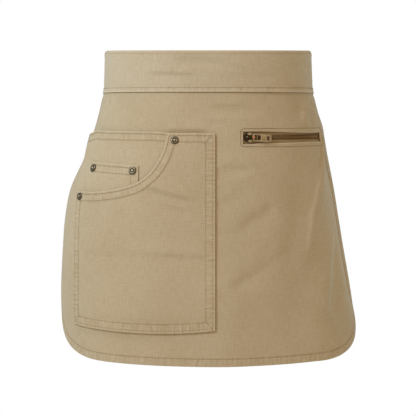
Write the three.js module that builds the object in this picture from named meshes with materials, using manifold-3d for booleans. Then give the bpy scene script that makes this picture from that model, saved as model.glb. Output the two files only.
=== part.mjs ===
import * as THREE from "three";
import { mergeVertices } from "three/addons/utils/BufferGeometryUtils.js";
import Module from "manifold-3d";

const wasm = await Module();
wasm.setup();

// Sizes in millimetres. The front faces -Y, +Z is up, and the origin is the middle of the waist ring.
// A place on the cloth is written s, z, h: s runs along the cloth from the centre front and is positive
// towards +X, z is the height, and h is the distance outward from the worn form.
const CLOTH = 1.0;
const GAP = 0.3;
const SEAM = -25;
const SEAM_TUCK = 9;
const HEM_LEVEL = -337;
const HEM_RISE = 3.5;
const HEM_WIDTH = 9;
const CORNER_WIDE = 110;
const CORNER_TALL = 80;
const SIDE_SHORT = 1;
const BAND_PAST = 7;
const BAND_DROP = 4.5;
const BAND_LIFT = 0.7;
const TIE_HALF = 12;
const KNOT_WIDTH = 18;

const POCKET = { left: -170, right: 10, top: -69.2, low: -300.4, lowAt: -60 };
const COIN = { left: -147.6, right: -79.6, top: -106.2, bottom: -152 };
const POCKET_BULGE = 2.2;
const ZIP = { left: 40.3, right: 155.5, middle: -75.4, window: 13, chain: -74.8, tape: 12 };
const SLIDER_AT = { s: 47.5, z: -75.4 };
const CHAIN_HALF = 3.0;
const CHAIN_LEVEL = -1.2;
const TOOTH_PITCH = 2.6;
const PULL_PIVOT = { u: 4.2, n: 2.65, droop: 4.4 };
const BAG = { left: 24, right: 171, top: -55, bottom: -140, gap: 0.6, depth: 3.9 };

// Cross-sections of the worn form: half-width to each side, depth to the front, depth to the back.
const FORM_POWER = 2.2;
const FORM = [
  { z: 32, left: 119.6, right: 119.6, front: 87, back: 84 },
  { z: -18, left: 120.9, right: 121.6, front: 89, back: 86 },
  { z: -30, left: 123.6, right: 124.4, front: 91, back: 88 },
  { z: -48, left: 127.6, right: 128.8, front: 94, back: 91 },
  { z: -70, left: 133.9, right: 135.1, front: 98, back: 95 },
  { z: -103, left: 145.9, right: 141.5, front: 104, back: 101 },
  { z: -137, left: 161.2, right: 148.1, front: 109, back: 106 },
  { z: -172, left: 168.0, right: 153.8, front: 112, back: 110 },
  { z: -206, left: 170.6, right: 159.4, front: 114, back: 112 },
  { z: -250, left: 172.8, right: 167.1, front: 116, back: 114 },
  { z: -290, left: 172.5, right: 173.7, front: 117, back: 115 },
  { z: -342, left: 171.0, right: 183.0, front: 118, back: 116 },
];

// Soft folds of the worn cloth, each a ridge (height above zero) or a hollow along a straight line.
const FOLDS = [
  { s0: 163, z0: -92, s1: 121, z1: -196, height: 2.4, width: 13, fade: 32 },
  { s0: 170, z0: -125, s1: 166, z1: -260, height: -2.0, width: 14, fade: 35 },
  { s0: 108, z0: -130, s1: 98, z1: -270, height: -1.5, width: 21, fade: 40 },
  { s0: 28, z0: -184, s1: 66, z1: -161, height: -1.0, width: 12, fade: 14 },
  { s0: 40, z0: -236, s1: 72, z1: -211, height: -1.0, width: 12, fade: 14 },
];

// Scoop edge of the pocket front, from the side of the pocket up to its top edge.
const SCOOP = [
  [-170, -139.8],
  [-157.3, -139.6],
  [-133.1, -139.4],
  [-107.2, -135.9],
  [-88.3, -131.1],
  [-77.3, -126.0],
  [-65.7, -117.0],
  [-56.8, -104.8],
  [-50.7, -92.4],
  [-47.2, -79.6],
  [-44.5, -69.2],
];

// Cross-section of the waistband: a folded strip with a slot along its lower edge for the skirt.
const BAND_PROFILE = [
  { h: 1.3, z: -25 },
  { h: 2.3, z: -25 },
  { h: 2.6, z: -23 },
  { h: 2.5, z: -14 },
  { h: 2.4, z: 17 },
  { h: 2.3, z: 23.4 },
  { h: 1.5, z: 25 },
  { h: -0.2, z: 25 },
  { h: -1.1, z: 23.4 },
  { h: -1.1, z: -10 },
  { h: -1.4, z: -16 },
  { h: -1.4, z: -25 },
  { h: -0.35, z: -25 },
  { h: -0.35, z: -15.5 },
  { h: 1.3, z: -15.5 },
];

// Set rivets: place on the cloth, and the topmost and lowest layers that they hold.
const RIVETS = [
  { name: "rivet_scoop_top", s: -37.4, z: -79.2, over: "front", under: "back" },
  { name: "rivet_scoop_side", s: -161.5, z: -145.3, over: "front", under: "skirt" },
  { name: "rivet_coin_left", s: -141.5, z: -113.2, over: "coin", under: "back" },
  { name: "rivet_coin_right", s: -86.4, z: -114.5, over: "coin", under: "back" },
];
const RIVET_RADIUS = 4.7;
const POST_RADIUS = 1.3;
const BURR_RADIUS = 2.9;
const BURR_GAP = 0.7;

const group = new THREE.Group();

function lerp(a, b, t) {
  return a + (b - a) * t;
}

function ramp(value, length) {
  const t = Math.min(1, Math.max(0, value / length));
  return t * t * (3 - 2 * t);
}

// One measure of the form at any height, by a smooth cubic through the table.
function formValue(column, height) {
  const last = FORM.length - 1;
  const z = Math.min(FORM[0].z, Math.max(FORM[last].z, height));
  let i = 0;
  while (i < last - 1 && FORM[i + 1].z > z) {
    i += 1;
  }
  const slope = (k) => {
    const above = FORM[Math.max(k - 1, 0)];
    const below = FORM[Math.min(k + 1, last)];
    return (below[column] - above[column]) / (below.z - above.z);
  };
  const step = FORM[i + 1].z - FORM[i].z;
  const t = (z - FORM[i].z) / step;
  const start = FORM[i][column] * (1 + 2 * t) * (1 - t) ** 2 + slope(i) * step * t * (1 - t) ** 2;
  const end = FORM[i + 1][column] * t * t * (3 - 2 * t) + slope(i + 1) * step * t * t * (t - 1);
  return start + end;
}

// Closed outline of the form at one height, with the arc length of each point from the centre front.
const SECTION_STEPS = 1440;
const MIDDLE = SECTION_STEPS / 2;
const sections = new Map();

function traceSection(z) {
  const left = formValue("left", z);
  const right = formValue("right", z);
  const front = formValue("front", z);
  const back = formValue("back", z);
  const points = [];
  for (let i = 0; i <= SECTION_STEPS; i += 1) {
    const angle = (i / SECTION_STEPS - 0.5) * 2 * Math.PI;
    const across = Math.sign(Math.sin(angle)) * Math.abs(Math.sin(angle)) ** (2 / FORM_POWER);
    const ahead = Math.sign(Math.cos(angle)) * Math.abs(Math.cos(angle)) ** (2 / FORM_POWER);
    const x = across * (across < 0 ? left : right);
    const y = -ahead * (ahead > 0 ? front : back);
    points.push({ x, y, s: 0 });
  }
  for (let i = MIDDLE + 1; i <= SECTION_STEPS; i += 1) {
    points[i].s = points[i - 1].s + Math.hypot(points[i].x - points[i - 1].x, points[i].y - points[i - 1].y);
  }
  for (let i = MIDDLE - 1; i >= 0; i -= 1) {
    points[i].s = points[i + 1].s - Math.hypot(points[i].x - points[i + 1].x, points[i].y - points[i + 1].y);
  }
  return points;
}

function sectionAt(z) {
  const key = z.toFixed(3);
  if (!sections.has(key)) {
    sections.set(key, traceSection(z));
  }
  return sections.get(key);
}

// Arc length from the centre front to the widest point of one side.
function quarterAt(z, side) {
  return sectionAt(z)[MIDDLE + side * (SECTION_STEPS / 4)].s;
}

function formPoint(s, z) {
  const points = sectionAt(z);
  const around = points[SECTION_STEPS].s - points[0].s;
  let place = s;
  if (place > points[SECTION_STEPS].s) {
    place -= around;
  }
  if (place < points[0].s) {
    place += around;
  }
  let low = 0;
  let high = SECTION_STEPS;
  while (high - low > 1) {
    const half = (low + high) >> 1;
    if (points[half].s <= place) {
      low = half;
    } else {
      high = half;
    }
  }
  const t = (place - points[low].s) / (points[high].s - points[low].s);
  return new THREE.Vector3(lerp(points[low].x, points[high].x, t), lerp(points[low].y, points[high].y, t), z);
}

function formNormal(s, z) {
  const reach = 1.5;
  const along = formPoint(s + reach, z).sub(formPoint(s - reach, z));
  const up = formPoint(s, z + reach).sub(formPoint(s, z - reach));
  return along.cross(up).normalize();
}

function foldAt(s, z) {
  let sum = 0;
  for (const fold of FOLDS) {
    const ds = fold.s1 - fold.s0;
    const dz = fold.z1 - fold.z0;
    const length = Math.hypot(ds, dz);
    const along = ((s - fold.s0) * ds + (z - fold.z0) * dz) / length;
    const aside = ((s - fold.s0) * dz - (z - fold.z0) * ds) / length;
    const beyond = Math.max(0, -along, along - length);
    sum += fold.height * Math.exp(-((aside / fold.width) ** 2) - (beyond / fold.fade) ** 2);
  }
  return sum * ramp(SEAM - z, 14);
}

function wrap(s, z, h) {
  return formPoint(s, z).addScaledVector(formNormal(s, z), h + foldAt(s, z));
}

// Placing on a cloth surface: x along the cloth, y up it and z straight out of it.
function frameOn(height, s, z) {
  const reach = 1.5;
  const at = (ds, dz) => wrap(s + ds, z + dz, height(s + ds, z + dz));
  const along = at(reach, 0).sub(at(-reach, 0)).normalize();
  const out = along.clone().cross(at(0, reach).sub(at(0, -reach))).normalize();
  const up = out.clone().cross(along);
  const matrix = new THREE.Matrix4().makeBasis(along, up, out);
  matrix.setPosition(at(0, 0));
  return matrix;
}

function signedVolume(position, index) {
  let volume = 0;
  const a = new THREE.Vector3();
  const b = new THREE.Vector3();
  const c = new THREE.Vector3();
  for (let i = 0; i < index.length; i += 3) {
    a.fromArray(position, index[i] * 3);
    b.fromArray(position, index[i + 1] * 3);
    c.fromArray(position, index[i + 2] * 3);
    volume += a.dot(b.cross(c)) / 6;
  }
  return volume;
}

function closedGeometry(position, index) {
  const faces = index.slice();
  if (signedVolume(position, faces) < 0) {
    for (let i = 0; i < faces.length; i += 3) {
      [faces[i], faces[i + 1]] = [faces[i + 1], faces[i]];
    }
  }
  const geometry = new THREE.BufferGeometry();
  geometry.setAttribute("position", new THREE.Float32BufferAttribute(position, 3));
  geometry.setIndex(faces);
  return geometry;
}

// A cloth sheet on the form. Each column lists its heights from top to bottom; place turns a column's u and
// a height into s, and the two faces lie at the offsets that inner and outer give.
function clothSheet({ columns, place, inner, outer }) {
  const position = [];
  const index = [];
  const across = columns.length;
  const down = columns[0].levels.length;
  const rows = down - 1;
  for (const face of [outer, inner]) {
    for (const column of columns) {
      for (const z of column.levels) {
        const s = place(column.u, z);
        position.push(...wrap(s, z, face(s, z)).toArray());
      }
    }
  }
  const at = (face, c, r) => face * across * down + c * down + r;
  const quad = (a, b, c, d) => index.push(a, b, c, a, c, d);
  for (let c = 0; c < across - 1; c += 1) {
    for (let r = 0; r < rows; r += 1) {
      quad(at(0, c, r), at(0, c, r + 1), at(0, c + 1, r + 1), at(0, c + 1, r));
      quad(at(1, c, r), at(1, c + 1, r), at(1, c + 1, r + 1), at(1, c, r + 1));
    }
    quad(at(0, c, 0), at(0, c + 1, 0), at(1, c + 1, 0), at(1, c, 0));
    quad(at(0, c, rows), at(1, c, rows), at(1, c + 1, rows), at(0, c + 1, rows));
  }
  for (let r = 0; r < rows; r += 1) {
    quad(at(0, 0, r), at(1, 0, r), at(1, 0, r + 1), at(0, 0, r + 1));
    quad(at(0, across - 1, r), at(0, across - 1, r + 1), at(1, across - 1, r + 1), at(1, across - 1, r));
  }
  return closedGeometry(position, index);
}

// A strip carried along a row of rings that all have the same closed outline.
function loft(rings, outline) {
  const position = rings.flat().flatMap((point) => point.toArray());
  const index = [];
  const count = rings[0].length;
  for (let k = 0; k < rings.length - 1; k += 1) {
    for (let j = 0; j < count; j += 1) {
      const next = (j + 1) % count;
      const a = k * count + j;
      const b = k * count + next;
      index.push(a, b, b + count, a, b + count, a + count);
    }
  }
  const end = (rings.length - 1) * count;
  const clockwise = THREE.ShapeUtils.isClockWise(outline);
  for (const [p, q, r] of THREE.ShapeUtils.triangulateShape(outline, [])) {
    const cap = clockwise ? [p, r, q] : [p, q, r];
    index.push(cap[0], cap[2], cap[1]);
    index.push(end + cap[0], end + cap[1], end + cap[2]);
  }
  if (clockwise) {
    for (let i = 0; i < index.length - 6 * (count - 2); i += 3) {
      [index[i + 1], index[i + 2]] = [index[i + 2], index[i + 1]];
    }
  }
  return closedGeometry(position, index);
}

function even(from, to, steps) {
  return Array.from({ length: steps + 1 }, (_, i) => lerp(from, to, i / steps));
}

function spread(from, to, spacing) {
  return even(from, to, Math.max(1, Math.round(Math.abs(to - from) / spacing)));
}

function solidOf(geometry) {
  const bare = geometry.clone();
  bare.deleteAttribute("normal");
  bare.deleteAttribute("uv");
  const merged = mergeVertices(bare, 1e-4);
  const vertProperties = new Float32Array(merged.attributes.position.array);
  const triVerts = new Uint32Array(merged.index.array);
  return new wasm.Manifold(new wasm.Mesh({ numProp: 3, vertProperties, triVerts }));
}

function geometryOf(solid) {
  const mesh = solid.getMesh();
  const geometry = new THREE.BufferGeometry();
  const position = [];
  for (let i = 0; i < mesh.vertProperties.length; i += mesh.numProp) {
    position.push(mesh.vertProperties[i], mesh.vertProperties[i + 1], mesh.vertProperties[i + 2]);
  }
  geometry.setAttribute("position", new THREE.Float32BufferAttribute(position, 3));
  geometry.setIndex(Array.from(mesh.triVerts));
  return geometry;
}

function cut(geometry, cutters) {
  let solid = solidOf(geometry);
  for (const cutter of cutters) {
    solid = solid.subtract(solidOf(cutter));
  }
  return geometryOf(solid);
}

function join(geometries) {
  let solid = solidOf(geometries[0]);
  for (const geometry of geometries.slice(1)) {
    solid = solid.add(solidOf(geometry));
  }
  return geometryOf(solid);
}

function addPart(name, geometry, look, parent = group) {
  const material = new THREE.MeshStandardMaterial(look);
  const mesh = new THREE.Mesh(geometry, material);
  mesh.name = name;
  parent.add(mesh);
  return mesh;
}

const TWILL = { color: 0xb9a07a, roughness: 0.9, metalness: 0 };
const TAPE = { color: 0xa28a63, roughness: 0.85, metalness: 0 };
const LINING = { color: 0xb59c77, roughness: 0.9, metalness: 0 };
const BRASS = { color: 0x6e5a36, roughness: 0.42, metalness: 0.9 };

// Heights of the layers above the form. The pocket stands a little off the skirt along its open top and
// further at its outer top corner, and its front bulges over the coin pocket. Rivets pinch the layers.
function pinch(rivet, s, z) {
  return 1 - Math.exp(-((s - rivet.s) ** 2 + (z - rivet.z) ** 2) / 14 ** 2);
}

function pocketLift(s, z) {
  const open = ramp(z + 165, 65) * ramp(POCKET.right - s, 25) * 1.6;
  const corner = ramp(-110 - s, 55) * ramp(z + 122, 40) * 1.8;
  return (open + corner) * pinch(RIVETS[1], s, z);
}

function pocketLow(s) {
  const away = s - POCKET.lowAt;
  return POCKET.low + (away < 0 ? 6.8 * (away / 109) ** 2 : 4.2 * (away / 70) ** 2);
}

function pocketTop(s) {
  return POCKET.top - 4.4 * ramp(-140 - s, 30);
}

function pocketBulge(s, z) {
  const sides = ramp(s - POCKET.left, 22) * ramp(POCKET.right - s, 22);
  const ends = ramp(z - pocketLow(s), 22) * ramp(POCKET.top - z, 40);
  return POCKET_BULGE * sides * ends * pinch(RIVETS[1], s, z);
}

const LAYERS = {
  skirt: { inner: () => 0, outer: () => CLOTH },
  back: {
    inner: (s, z) => CLOTH + GAP + pocketLift(s, z),
    outer: (s, z) => 2 * CLOTH + GAP + pocketLift(s, z),
  },
  coin: {
    inner: (s, z) => 2 * CLOTH + 2 * GAP + pocketLift(s, z),
    outer: (s, z) => 3 * CLOTH + 2 * GAP + pocketLift(s, z),
  },
  front: {
    inner: (s, z) => 2 * CLOTH + 2 * GAP + pocketLift(s, z) + pocketBulge(s, z),
    outer: (s, z) => 3 * CLOTH + 2 * GAP + pocketLift(s, z) + pocketBulge(s, z),
  },
};

// Rivets, each turned about its own axis: cap with a raised ring and nub, post and back burr.
const rivetHoles = { skirt: [], back: [], coin: [], front: [] };
const rivetLayers = ["skirt", "back", "coin", "front"];
for (const rivet of RIVETS) {
  const seat = (s, z) => LAYERS[rivet.over].outer(s, z) + GAP;
  const frame = frameOn(seat, rivet.s, rivet.z);
  const depth = seat(rivet.s, rivet.z) - LAYERS[rivet.under].inner(rivet.s, rivet.z) + BURR_GAP;
  const profile = [
    [0, -depth - 0.8],
    [BURR_RADIUS - 0.3, -depth - 0.8],
    [BURR_RADIUS, -depth - 0.4],
    [BURR_RADIUS, -depth],
    [POST_RADIUS, -depth],
    [POST_RADIUS, 0],
    [RIVET_RADIUS - 0.3, 0],
    [RIVET_RADIUS, 0.5],
    [RIVET_RADIUS - 0.5, 1.2],
    [2.9, 1.5],
    [1.9, 1.1],
    [1.3, 1.9],
    [0, 2.2],
  ];
  const turned = new THREE.LatheGeometry(profile.map(([r, n]) => new THREE.Vector2(r, n)), 12);
  turned.rotateX(Math.PI / 2);
  const mesh = addPart(rivet.name, turned, BRASS);
  mesh.applyMatrix4(frame);
  const from = rivetLayers.indexOf(rivet.under);
  const to = rivetLayers.indexOf(rivet.over);
  for (const layer of rivetLayers.slice(from, to + 1)) {
    const hole = new THREE.CylinderGeometry(POST_RADIUS + GAP, POST_RADIUS + GAP, depth + 6, 12);
    hole.rotateX(Math.PI / 2);
    hole.translate(0, 0, -depth / 2);
    hole.applyMatrix4(frame);
    rivetHoles[layer].push(hole);
  }
}

// Skirt panel: A-line sides that follow the widest line of the form, and lower corners rounded to an ellipse.
function sideAt(z, side) {
  return quarterAt(z, side) - side * SIDE_SHORT;
}

const hemLeft = sideAt(HEM_LEVEL, -1);
const hemRight = sideAt(HEM_LEVEL, 1);
function hemAt(s) {
  const rise = HEM_RISE * Math.min(1, (Math.abs(s) / 130) ** 2);
  const inset = Math.max(0, Math.min(CORNER_WIDE, s - hemLeft, hemRight - s));
  const round = 1 - Math.sqrt(1 - ((CORNER_WIDE - inset) / CORNER_WIDE) ** 2);
  return HEM_LEVEL + rise + CORNER_TALL * round;
}

// The turned hem doubles the cloth along the sides and the bottom, on the inside.
function hemDepth(s, z) {
  const side = Math.min(s - sideAt(z, -1), sideAt(z, 1) - s);
  const outward = Math.max(0, hemLeft + CORNER_WIDE - s, s - hemRight + CORNER_WIDE) / CORNER_WIDE;
  const low = (HEM_LEVEL + HEM_RISE + CORNER_TALL - z) / CORNER_TALL;
  const corner = low > 0 && outward > 0 ? CORNER_TALL * (1 - Math.hypot(outward, low)) : z - hemAt(s);
  const inset = Math.min(side, corner);
  return z < SEAM - 3 ? CLOTH * (1 - ramp(inset - HEM_WIDTH + 1, 5)) : 0;
}

const sideInsets = [0, 3, 8, 15, 23, 32, 42, 53, 64, 75, 87];
const hemPlaces = [
  ...sideInsets.map((inset) => hemLeft + inset),
  ...spread(hemLeft + 98, hemRight - 98, 12),
  ...sideInsets.map((inset) => hemRight - inset).reverse(),
];
const upperLevels = [SEAM + SEAM_TUCK, SEAM, -37, -49, -61, -74, -87, -100, -113, -126, -140];
const skirtPlace = (u, z) => lerp(sideAt(z, -1), sideAt(z, 1), u);
const skirtColumns = hemPlaces.map((s) => {
  const bottom = hemAt(s);
  const lower = even(-140, bottom + 13, 8).slice(1);
  return { u: (s - hemLeft) / (hemRight - hemLeft), levels: [...upperLevels, ...lower, bottom + 8, bottom] };
});
const skirtSheet = clothSheet({
  columns: skirtColumns,
  place: skirtPlace,
  inner: (s, z) => -hemDepth(s, z),
  outer: LAYERS.skirt.outer,
});
const zipWindow = clothSheet({
  columns: spread(ZIP.left, ZIP.right, 9).map((u) => ({
    u,
    levels: [ZIP.middle + ZIP.window / 2, ZIP.middle - ZIP.window / 2],
  })),
  place: (u) => u,
  inner: () => -3,
  outer: () => 4,
});
addPart("skirt_panel", cut(skirtSheet, [zipWindow, ...rivetHoles.skirt]), TWILL);

// Patch pocket: backing panel, coin pocket on it, and the front with its scoop opening.
const backColumns = spread(POCKET.left, POCKET.right, 11).map((u) => ({
  u,
  levels: [pocketTop(u), ...upperLevels.slice(6), ...even(-140, pocketLow(u), 9).slice(1)],
}));
const backSheet = clothSheet({
  columns: backColumns,
  place: (u) => u,
  inner: LAYERS.back.inner,
  outer: LAYERS.back.outer,
});
addPart("pocket_back", cut(backSheet, rivetHoles.back), TWILL);

const coinSheet = clothSheet({
  columns: spread(COIN.left, COIN.right, 9).map((u) => ({ u, levels: even(COIN.top, COIN.bottom, 5) })),
  place: (u) => u,
  inner: LAYERS.coin.inner,
  outer: LAYERS.coin.outer,
});
addPart("coin_pocket", cut(coinSheet, rivetHoles.coin), TWILL);

const scoopCurve = new THREE.SplineCurve(SCOOP.map(([s, z]) => new THREE.Vector2(s, z)));
const scoopColumns = scoopCurve.getPoints(20).map((point) => ({
  u: point.x,
  levels: even(point.y, pocketLow(point.x), 13),
}));
const squareColumns = spread(SCOOP[SCOOP.length - 1][0], POCKET.right, 10).slice(1).map((u) => ({
  u,
  levels: even(POCKET.top, pocketLow(u), 13),
}));
const frontSheet = clothSheet({
  columns: [...scoopColumns, ...squareColumns],
  place: (u) => u,
  inner: LAYERS.front.inner,
  outer: LAYERS.front.outer,
});
addPart("pocket_front", cut(frontSheet, rivetHoles.front), TWILL);

// Waistband, carried round the form; its upper edge rises a little to the sides and dips where it turns back.
const waistQuarter = quarterAt(0, 1);
const bandEnd = waistQuarter + BAND_PAST;
function bandTurn(s) {
  return Math.min(1.1, Math.max(0, (Math.abs(s) - waistQuarter + 22) / 22)) ** 2;
}

function bandRing(s) {
  return BAND_PROFILE.map(({ h, z }) => {
    const lift = BAND_LIFT * (s / waistQuarter) ** 2 * ramp(z - 8, 17);
    const drop = bandTurn(s) * (BAND_DROP * ramp(z - 8, 17) + 1.6 * ramp(-16 - z, 9));
    return wrap(s, z + lift - drop, h);
  });
}

const bandOutline = BAND_PROFILE.map(({ h, z }) => new THREE.Vector2(h, z));
const bandPlaces = [-bandEnd, ...skirtColumns.map((column) => skirtPlace(column.u, SEAM)), bandEnd];
const bandLoft = loft(bandPlaces.map(bandRing), bandOutline);

// Ties: straps that start inside the ends of the band and meet at the back.
const halfRound = sectionAt(0)[SECTION_STEPS].s;
const tieStart = bandEnd - 15;
const tieEnd = halfRound + KNOT_WIDTH / 2 + 2;
const tieLevel = { low: 0.15, high: 0.15 + CLOTH };
function tieStrip(side, from, grow, raised) {
  const rings = spread(from, tieEnd, 9).map((s) => {
    const lift = raised * ramp(s - (halfRound - 45), 28);
    const low = tieLevel.low + lift - grow;
    const high = tieLevel.high + lift + grow;
    const half = TIE_HALF + grow;
    return [
      wrap(side * s, -half, low),
      wrap(side * s, -half, high),
      wrap(side * s, half, high),
      wrap(side * s, half, low),
    ];
  });
  const outline = [
    new THREE.Vector2(0, 0),
    new THREE.Vector2(1, 0),
    new THREE.Vector2(1, 1),
    new THREE.Vector2(0, 1),
  ];
  return loft(rings, outline);
}

const tieSlots = [tieStrip(-1, tieStart - GAP, GAP, 0), tieStrip(1, tieStart - GAP, GAP, CLOTH + GAP)];
addPart("waistband", cut(bandLoft, tieSlots), TWILL);
addPart("tie_left", tieStrip(-1, tieStart, 0, 0), TWILL);
addPart("tie_right", tieStrip(1, tieStart, 0, CLOTH + GAP), TWILL);

// Knot: a plain wrap round the two straps at the centre back.
const knotFrame = frameOn(() => tieLevel.high + GAP / 2, halfRound, 0);
const knotShape = new THREE.Shape();
const knotTall = TIE_HALF + 5;
knotShape.moveTo(-3, -knotTall);
knotShape.lineTo(3, -knotTall);
knotShape.quadraticCurveTo(6.5, -knotTall, 6.5, -knotTall + 6);
knotShape.lineTo(6.5, knotTall - 6);
knotShape.quadraticCurveTo(6.5, knotTall, 3, knotTall);
knotShape.lineTo(-3, knotTall);
knotShape.quadraticCurveTo(-4, knotTall, -4, knotTall - 3);
knotShape.lineTo(-4, -knotTall + 3);
knotShape.quadraticCurveTo(-4, -knotTall, -3, -knotTall);
const knotHole = new THREE.Path();
knotHole.moveTo(-1.6, -TIE_HALF - 0.5);
knotHole.lineTo(-1.6, TIE_HALF + 0.5);
knotHole.lineTo(1.6, TIE_HALF + 0.5);
knotHole.lineTo(1.6, -TIE_HALF - 0.5);
knotHole.closePath();
knotShape.holes.push(knotHole);
const knot = new THREE.ExtrudeGeometry(knotShape, { depth: KNOT_WIDTH, bevelEnabled: false, curveSegments: 4 });
knot.rotateY(-Math.PI / 2);
knot.translate(KNOT_WIDTH / 2, 0, 0);
addPart("tie_knot", knot, TWILL).applyMatrix4(knotFrame);

// Zip: two tapes behind the window, the closed chain between them, the slider and its pull.
function tapeSheet(near, far) {
  return clothSheet({
    columns: spread(ZIP.left - 4, ZIP.right + 4, 6).map((u) => ({ u, levels: even(near, far, 2) })),
    place: (u) => u,
    inner: () => CHAIN_LEVEL - CLOTH / 2,
    outer: () => CHAIN_LEVEL + CLOTH / 2,
  });
}

const tapeNear = CHAIN_HALF + GAP;
addPart("zip_tape_upper", tapeSheet(ZIP.chain + tapeNear + ZIP.tape, ZIP.chain + tapeNear), TAPE);
addPart("zip_tape_lower", tapeSheet(ZIP.chain - tapeNear, ZIP.chain - tapeNear - ZIP.tape), TAPE);

// The chain is one ribbon whose teeth reach up and down by turns.
const chainStart = SLIDER_AT.s + 2;
const chainColumns = [];
for (let s = chainStart; s < ZIP.right - 4; s += TOOTH_PITCH) {
  for (const side of [1, -1]) {
    const from = side > 0 ? s : s + TOOTH_PITCH / 2;
    const top = ZIP.chain + (side > 0 ? CHAIN_HALF : CHAIN_HALF - 1.2);
    const bottom = ZIP.chain - (side < 0 ? CHAIN_HALF : CHAIN_HALF - 1.2);
    const levels = [top, bottom];
    chainColumns.push({ u: from, levels }, { u: from + TOOTH_PITCH * 0.36, levels });
  }
}
const chainSheet = clothSheet({
  columns: chainColumns,
  place: (u) => u,
  inner: () => CHAIN_LEVEL - 1,
  outer: () => CHAIN_LEVEL + 1,
});
addPart("zip_teeth", chainSheet, BRASS);

const sliderFrame = new THREE.Group();
sliderFrame.applyMatrix4(frameOn(() => 0, SLIDER_AT.s, SLIDER_AT.z));
group.add(sliderFrame);

// Half-outlines of the slider's two plates, from the nose to the tail; the tail of the top one is longer.
const lowHalf = [
  [-6, 3.2],
  [-4.4, 5.2],
  [-0.5, 5.8],
  [3.4, 5.0],
  [7, 4.0],
];
const topHalf = [
  [-6, 3.2],
  [-4.4, 4.8],
  [-0.4, 6.0],
  [2.6, 5.4],
  [4.6, 3.9],
  [9.6, 3.3],
];
function sliderPlate(half, level) {
  const outline = [...half, ...half.map(([u, t]) => [u, -t]).reverse()];
  const shape = new THREE.Shape(outline.map(([u, t]) => new THREE.Vector2(u, t)));
  const plate = new THREE.ExtrudeGeometry(shape, { depth: 1.2, bevelEnabled: false });
  plate.translate(0, 0, level);
  return plate;
}

const topPlate = sliderPlate(topHalf, 0.55);
const lowPlate = sliderPlate(lowHalf, -3.75);
const wedge = new THREE.CylinderGeometry(1.5, 1.5, 3.6, 4);
wedge.rotateX(Math.PI / 2);
wedge.translate(-3.6, ZIP.chain - SLIDER_AT.z, -1);
const archOutline = [
  [-4.6, 1.5],
  [-4.0, 3.8],
  [-2.3, 5.0],
  [3.4, 5.2],
  [5.9, 4.7],
  [6.9, 3.3],
  [6.9, 1.5],
  [5.7, 1.5],
  [5.6, 3.2],
  [4.9, 3.8],
  [3.2, 4.0],
  [-1.8, 3.9],
  [-3.0, 3.1],
  [-3.4, 1.5],
];
const archShape = new THREE.Shape(archOutline.map(([u, n]) => new THREE.Vector2(u, n)));
const arch = new THREE.ExtrudeGeometry(archShape, { depth: 2.4, bevelEnabled: false });
arch.rotateX(Math.PI / 2);
arch.translate(0, 1.2, 0);
addPart("zip_slider", join([topPlate, lowPlate, wedge, arch]), BRASS, sliderFrame);

// Pull tab: flat plate whose crossbar passes under the bridge, with a slot near its tip. It hangs a little low.
const pullShape = new THREE.Shape();
pullShape.moveTo(0.8, -4.5);
pullShape.lineTo(20.5, -4.5);
pullShape.quadraticCurveTo(21.5, -4.5, 21.5, -3.5);
pullShape.lineTo(21.5, 3.5);
pullShape.quadraticCurveTo(21.5, 4.5, 20.5, 4.5);
pullShape.lineTo(0.8, 4.5);
pullShape.quadraticCurveTo(-0.6, 4.2, -0.6, 2.7);
pullShape.lineTo(-0.6, -2.7);
pullShape.quadraticCurveTo(-0.6, -4.2, 0.8, -4.5);
const eye = new THREE.Path();
eye.moveTo(0.7, -3.0);
eye.lineTo(0.7, 3.0);
eye.lineTo(6.4, 3.0);
eye.quadraticCurveTo(9.0, 2.8, 9.0, 0);
eye.quadraticCurveTo(9.0, -2.8, 6.4, -3.0);
eye.closePath();
pullShape.holes.push(eye);
const slot = new THREE.Path();
slot.moveTo(16.3, -2.6);
slot.lineTo(16.3, 2.6);
slot.lineTo(19.2, 2.6);
slot.lineTo(19.2, -2.6);
slot.closePath();
pullShape.holes.push(slot);
const pull = new THREE.ExtrudeGeometry(pullShape, { depth: 1.2, bevelEnabled: false, curveSegments: 4 });
pull.translate(0, 0, -0.6);
const pullFrame = new THREE.Group();
pullFrame.position.set(PULL_PIVOT.u, 0, PULL_PIVOT.n);
pullFrame.rotation.z = THREE.MathUtils.degToRad(-PULL_PIVOT.droop);
sliderFrame.add(pullFrame);
addPart("zip_pull", pull, BRASS, pullFrame);

// Pocket bag behind the zip: sewn close to the panel round its edge, standing off behind the slider.
function bagDepth(s, z) {
  const sides = ramp(s - BAG.left - 3, 12) * ramp(BAG.right - s - 3, 14);
  const ends = ramp(z - BAG.bottom - 3, 30) * ramp(BAG.top - z - 1, 12);
  const behindTape = ramp(z + 106, 12) * (CLOTH + GAP + 0.2);
  return lerp(behindTape, BAG.depth, sides * ends);
}

const bagSheet = clothSheet({
  columns: spread(BAG.left, BAG.right, 10).map((u) => ({ u, levels: [BAG.top, ...upperLevels.slice(4)] })),
  place: (u) => u,
  inner: (s, z) => -BAG.gap - CLOTH - bagDepth(s, z),
  outer: (s, z) => -BAG.gap - bagDepth(s, z),
});
addPart("zip_pocket_bag", bagSheet, LINING);

export default group;
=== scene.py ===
import math
import bpy
import numpy as np
from mathutils import Matrix


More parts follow.
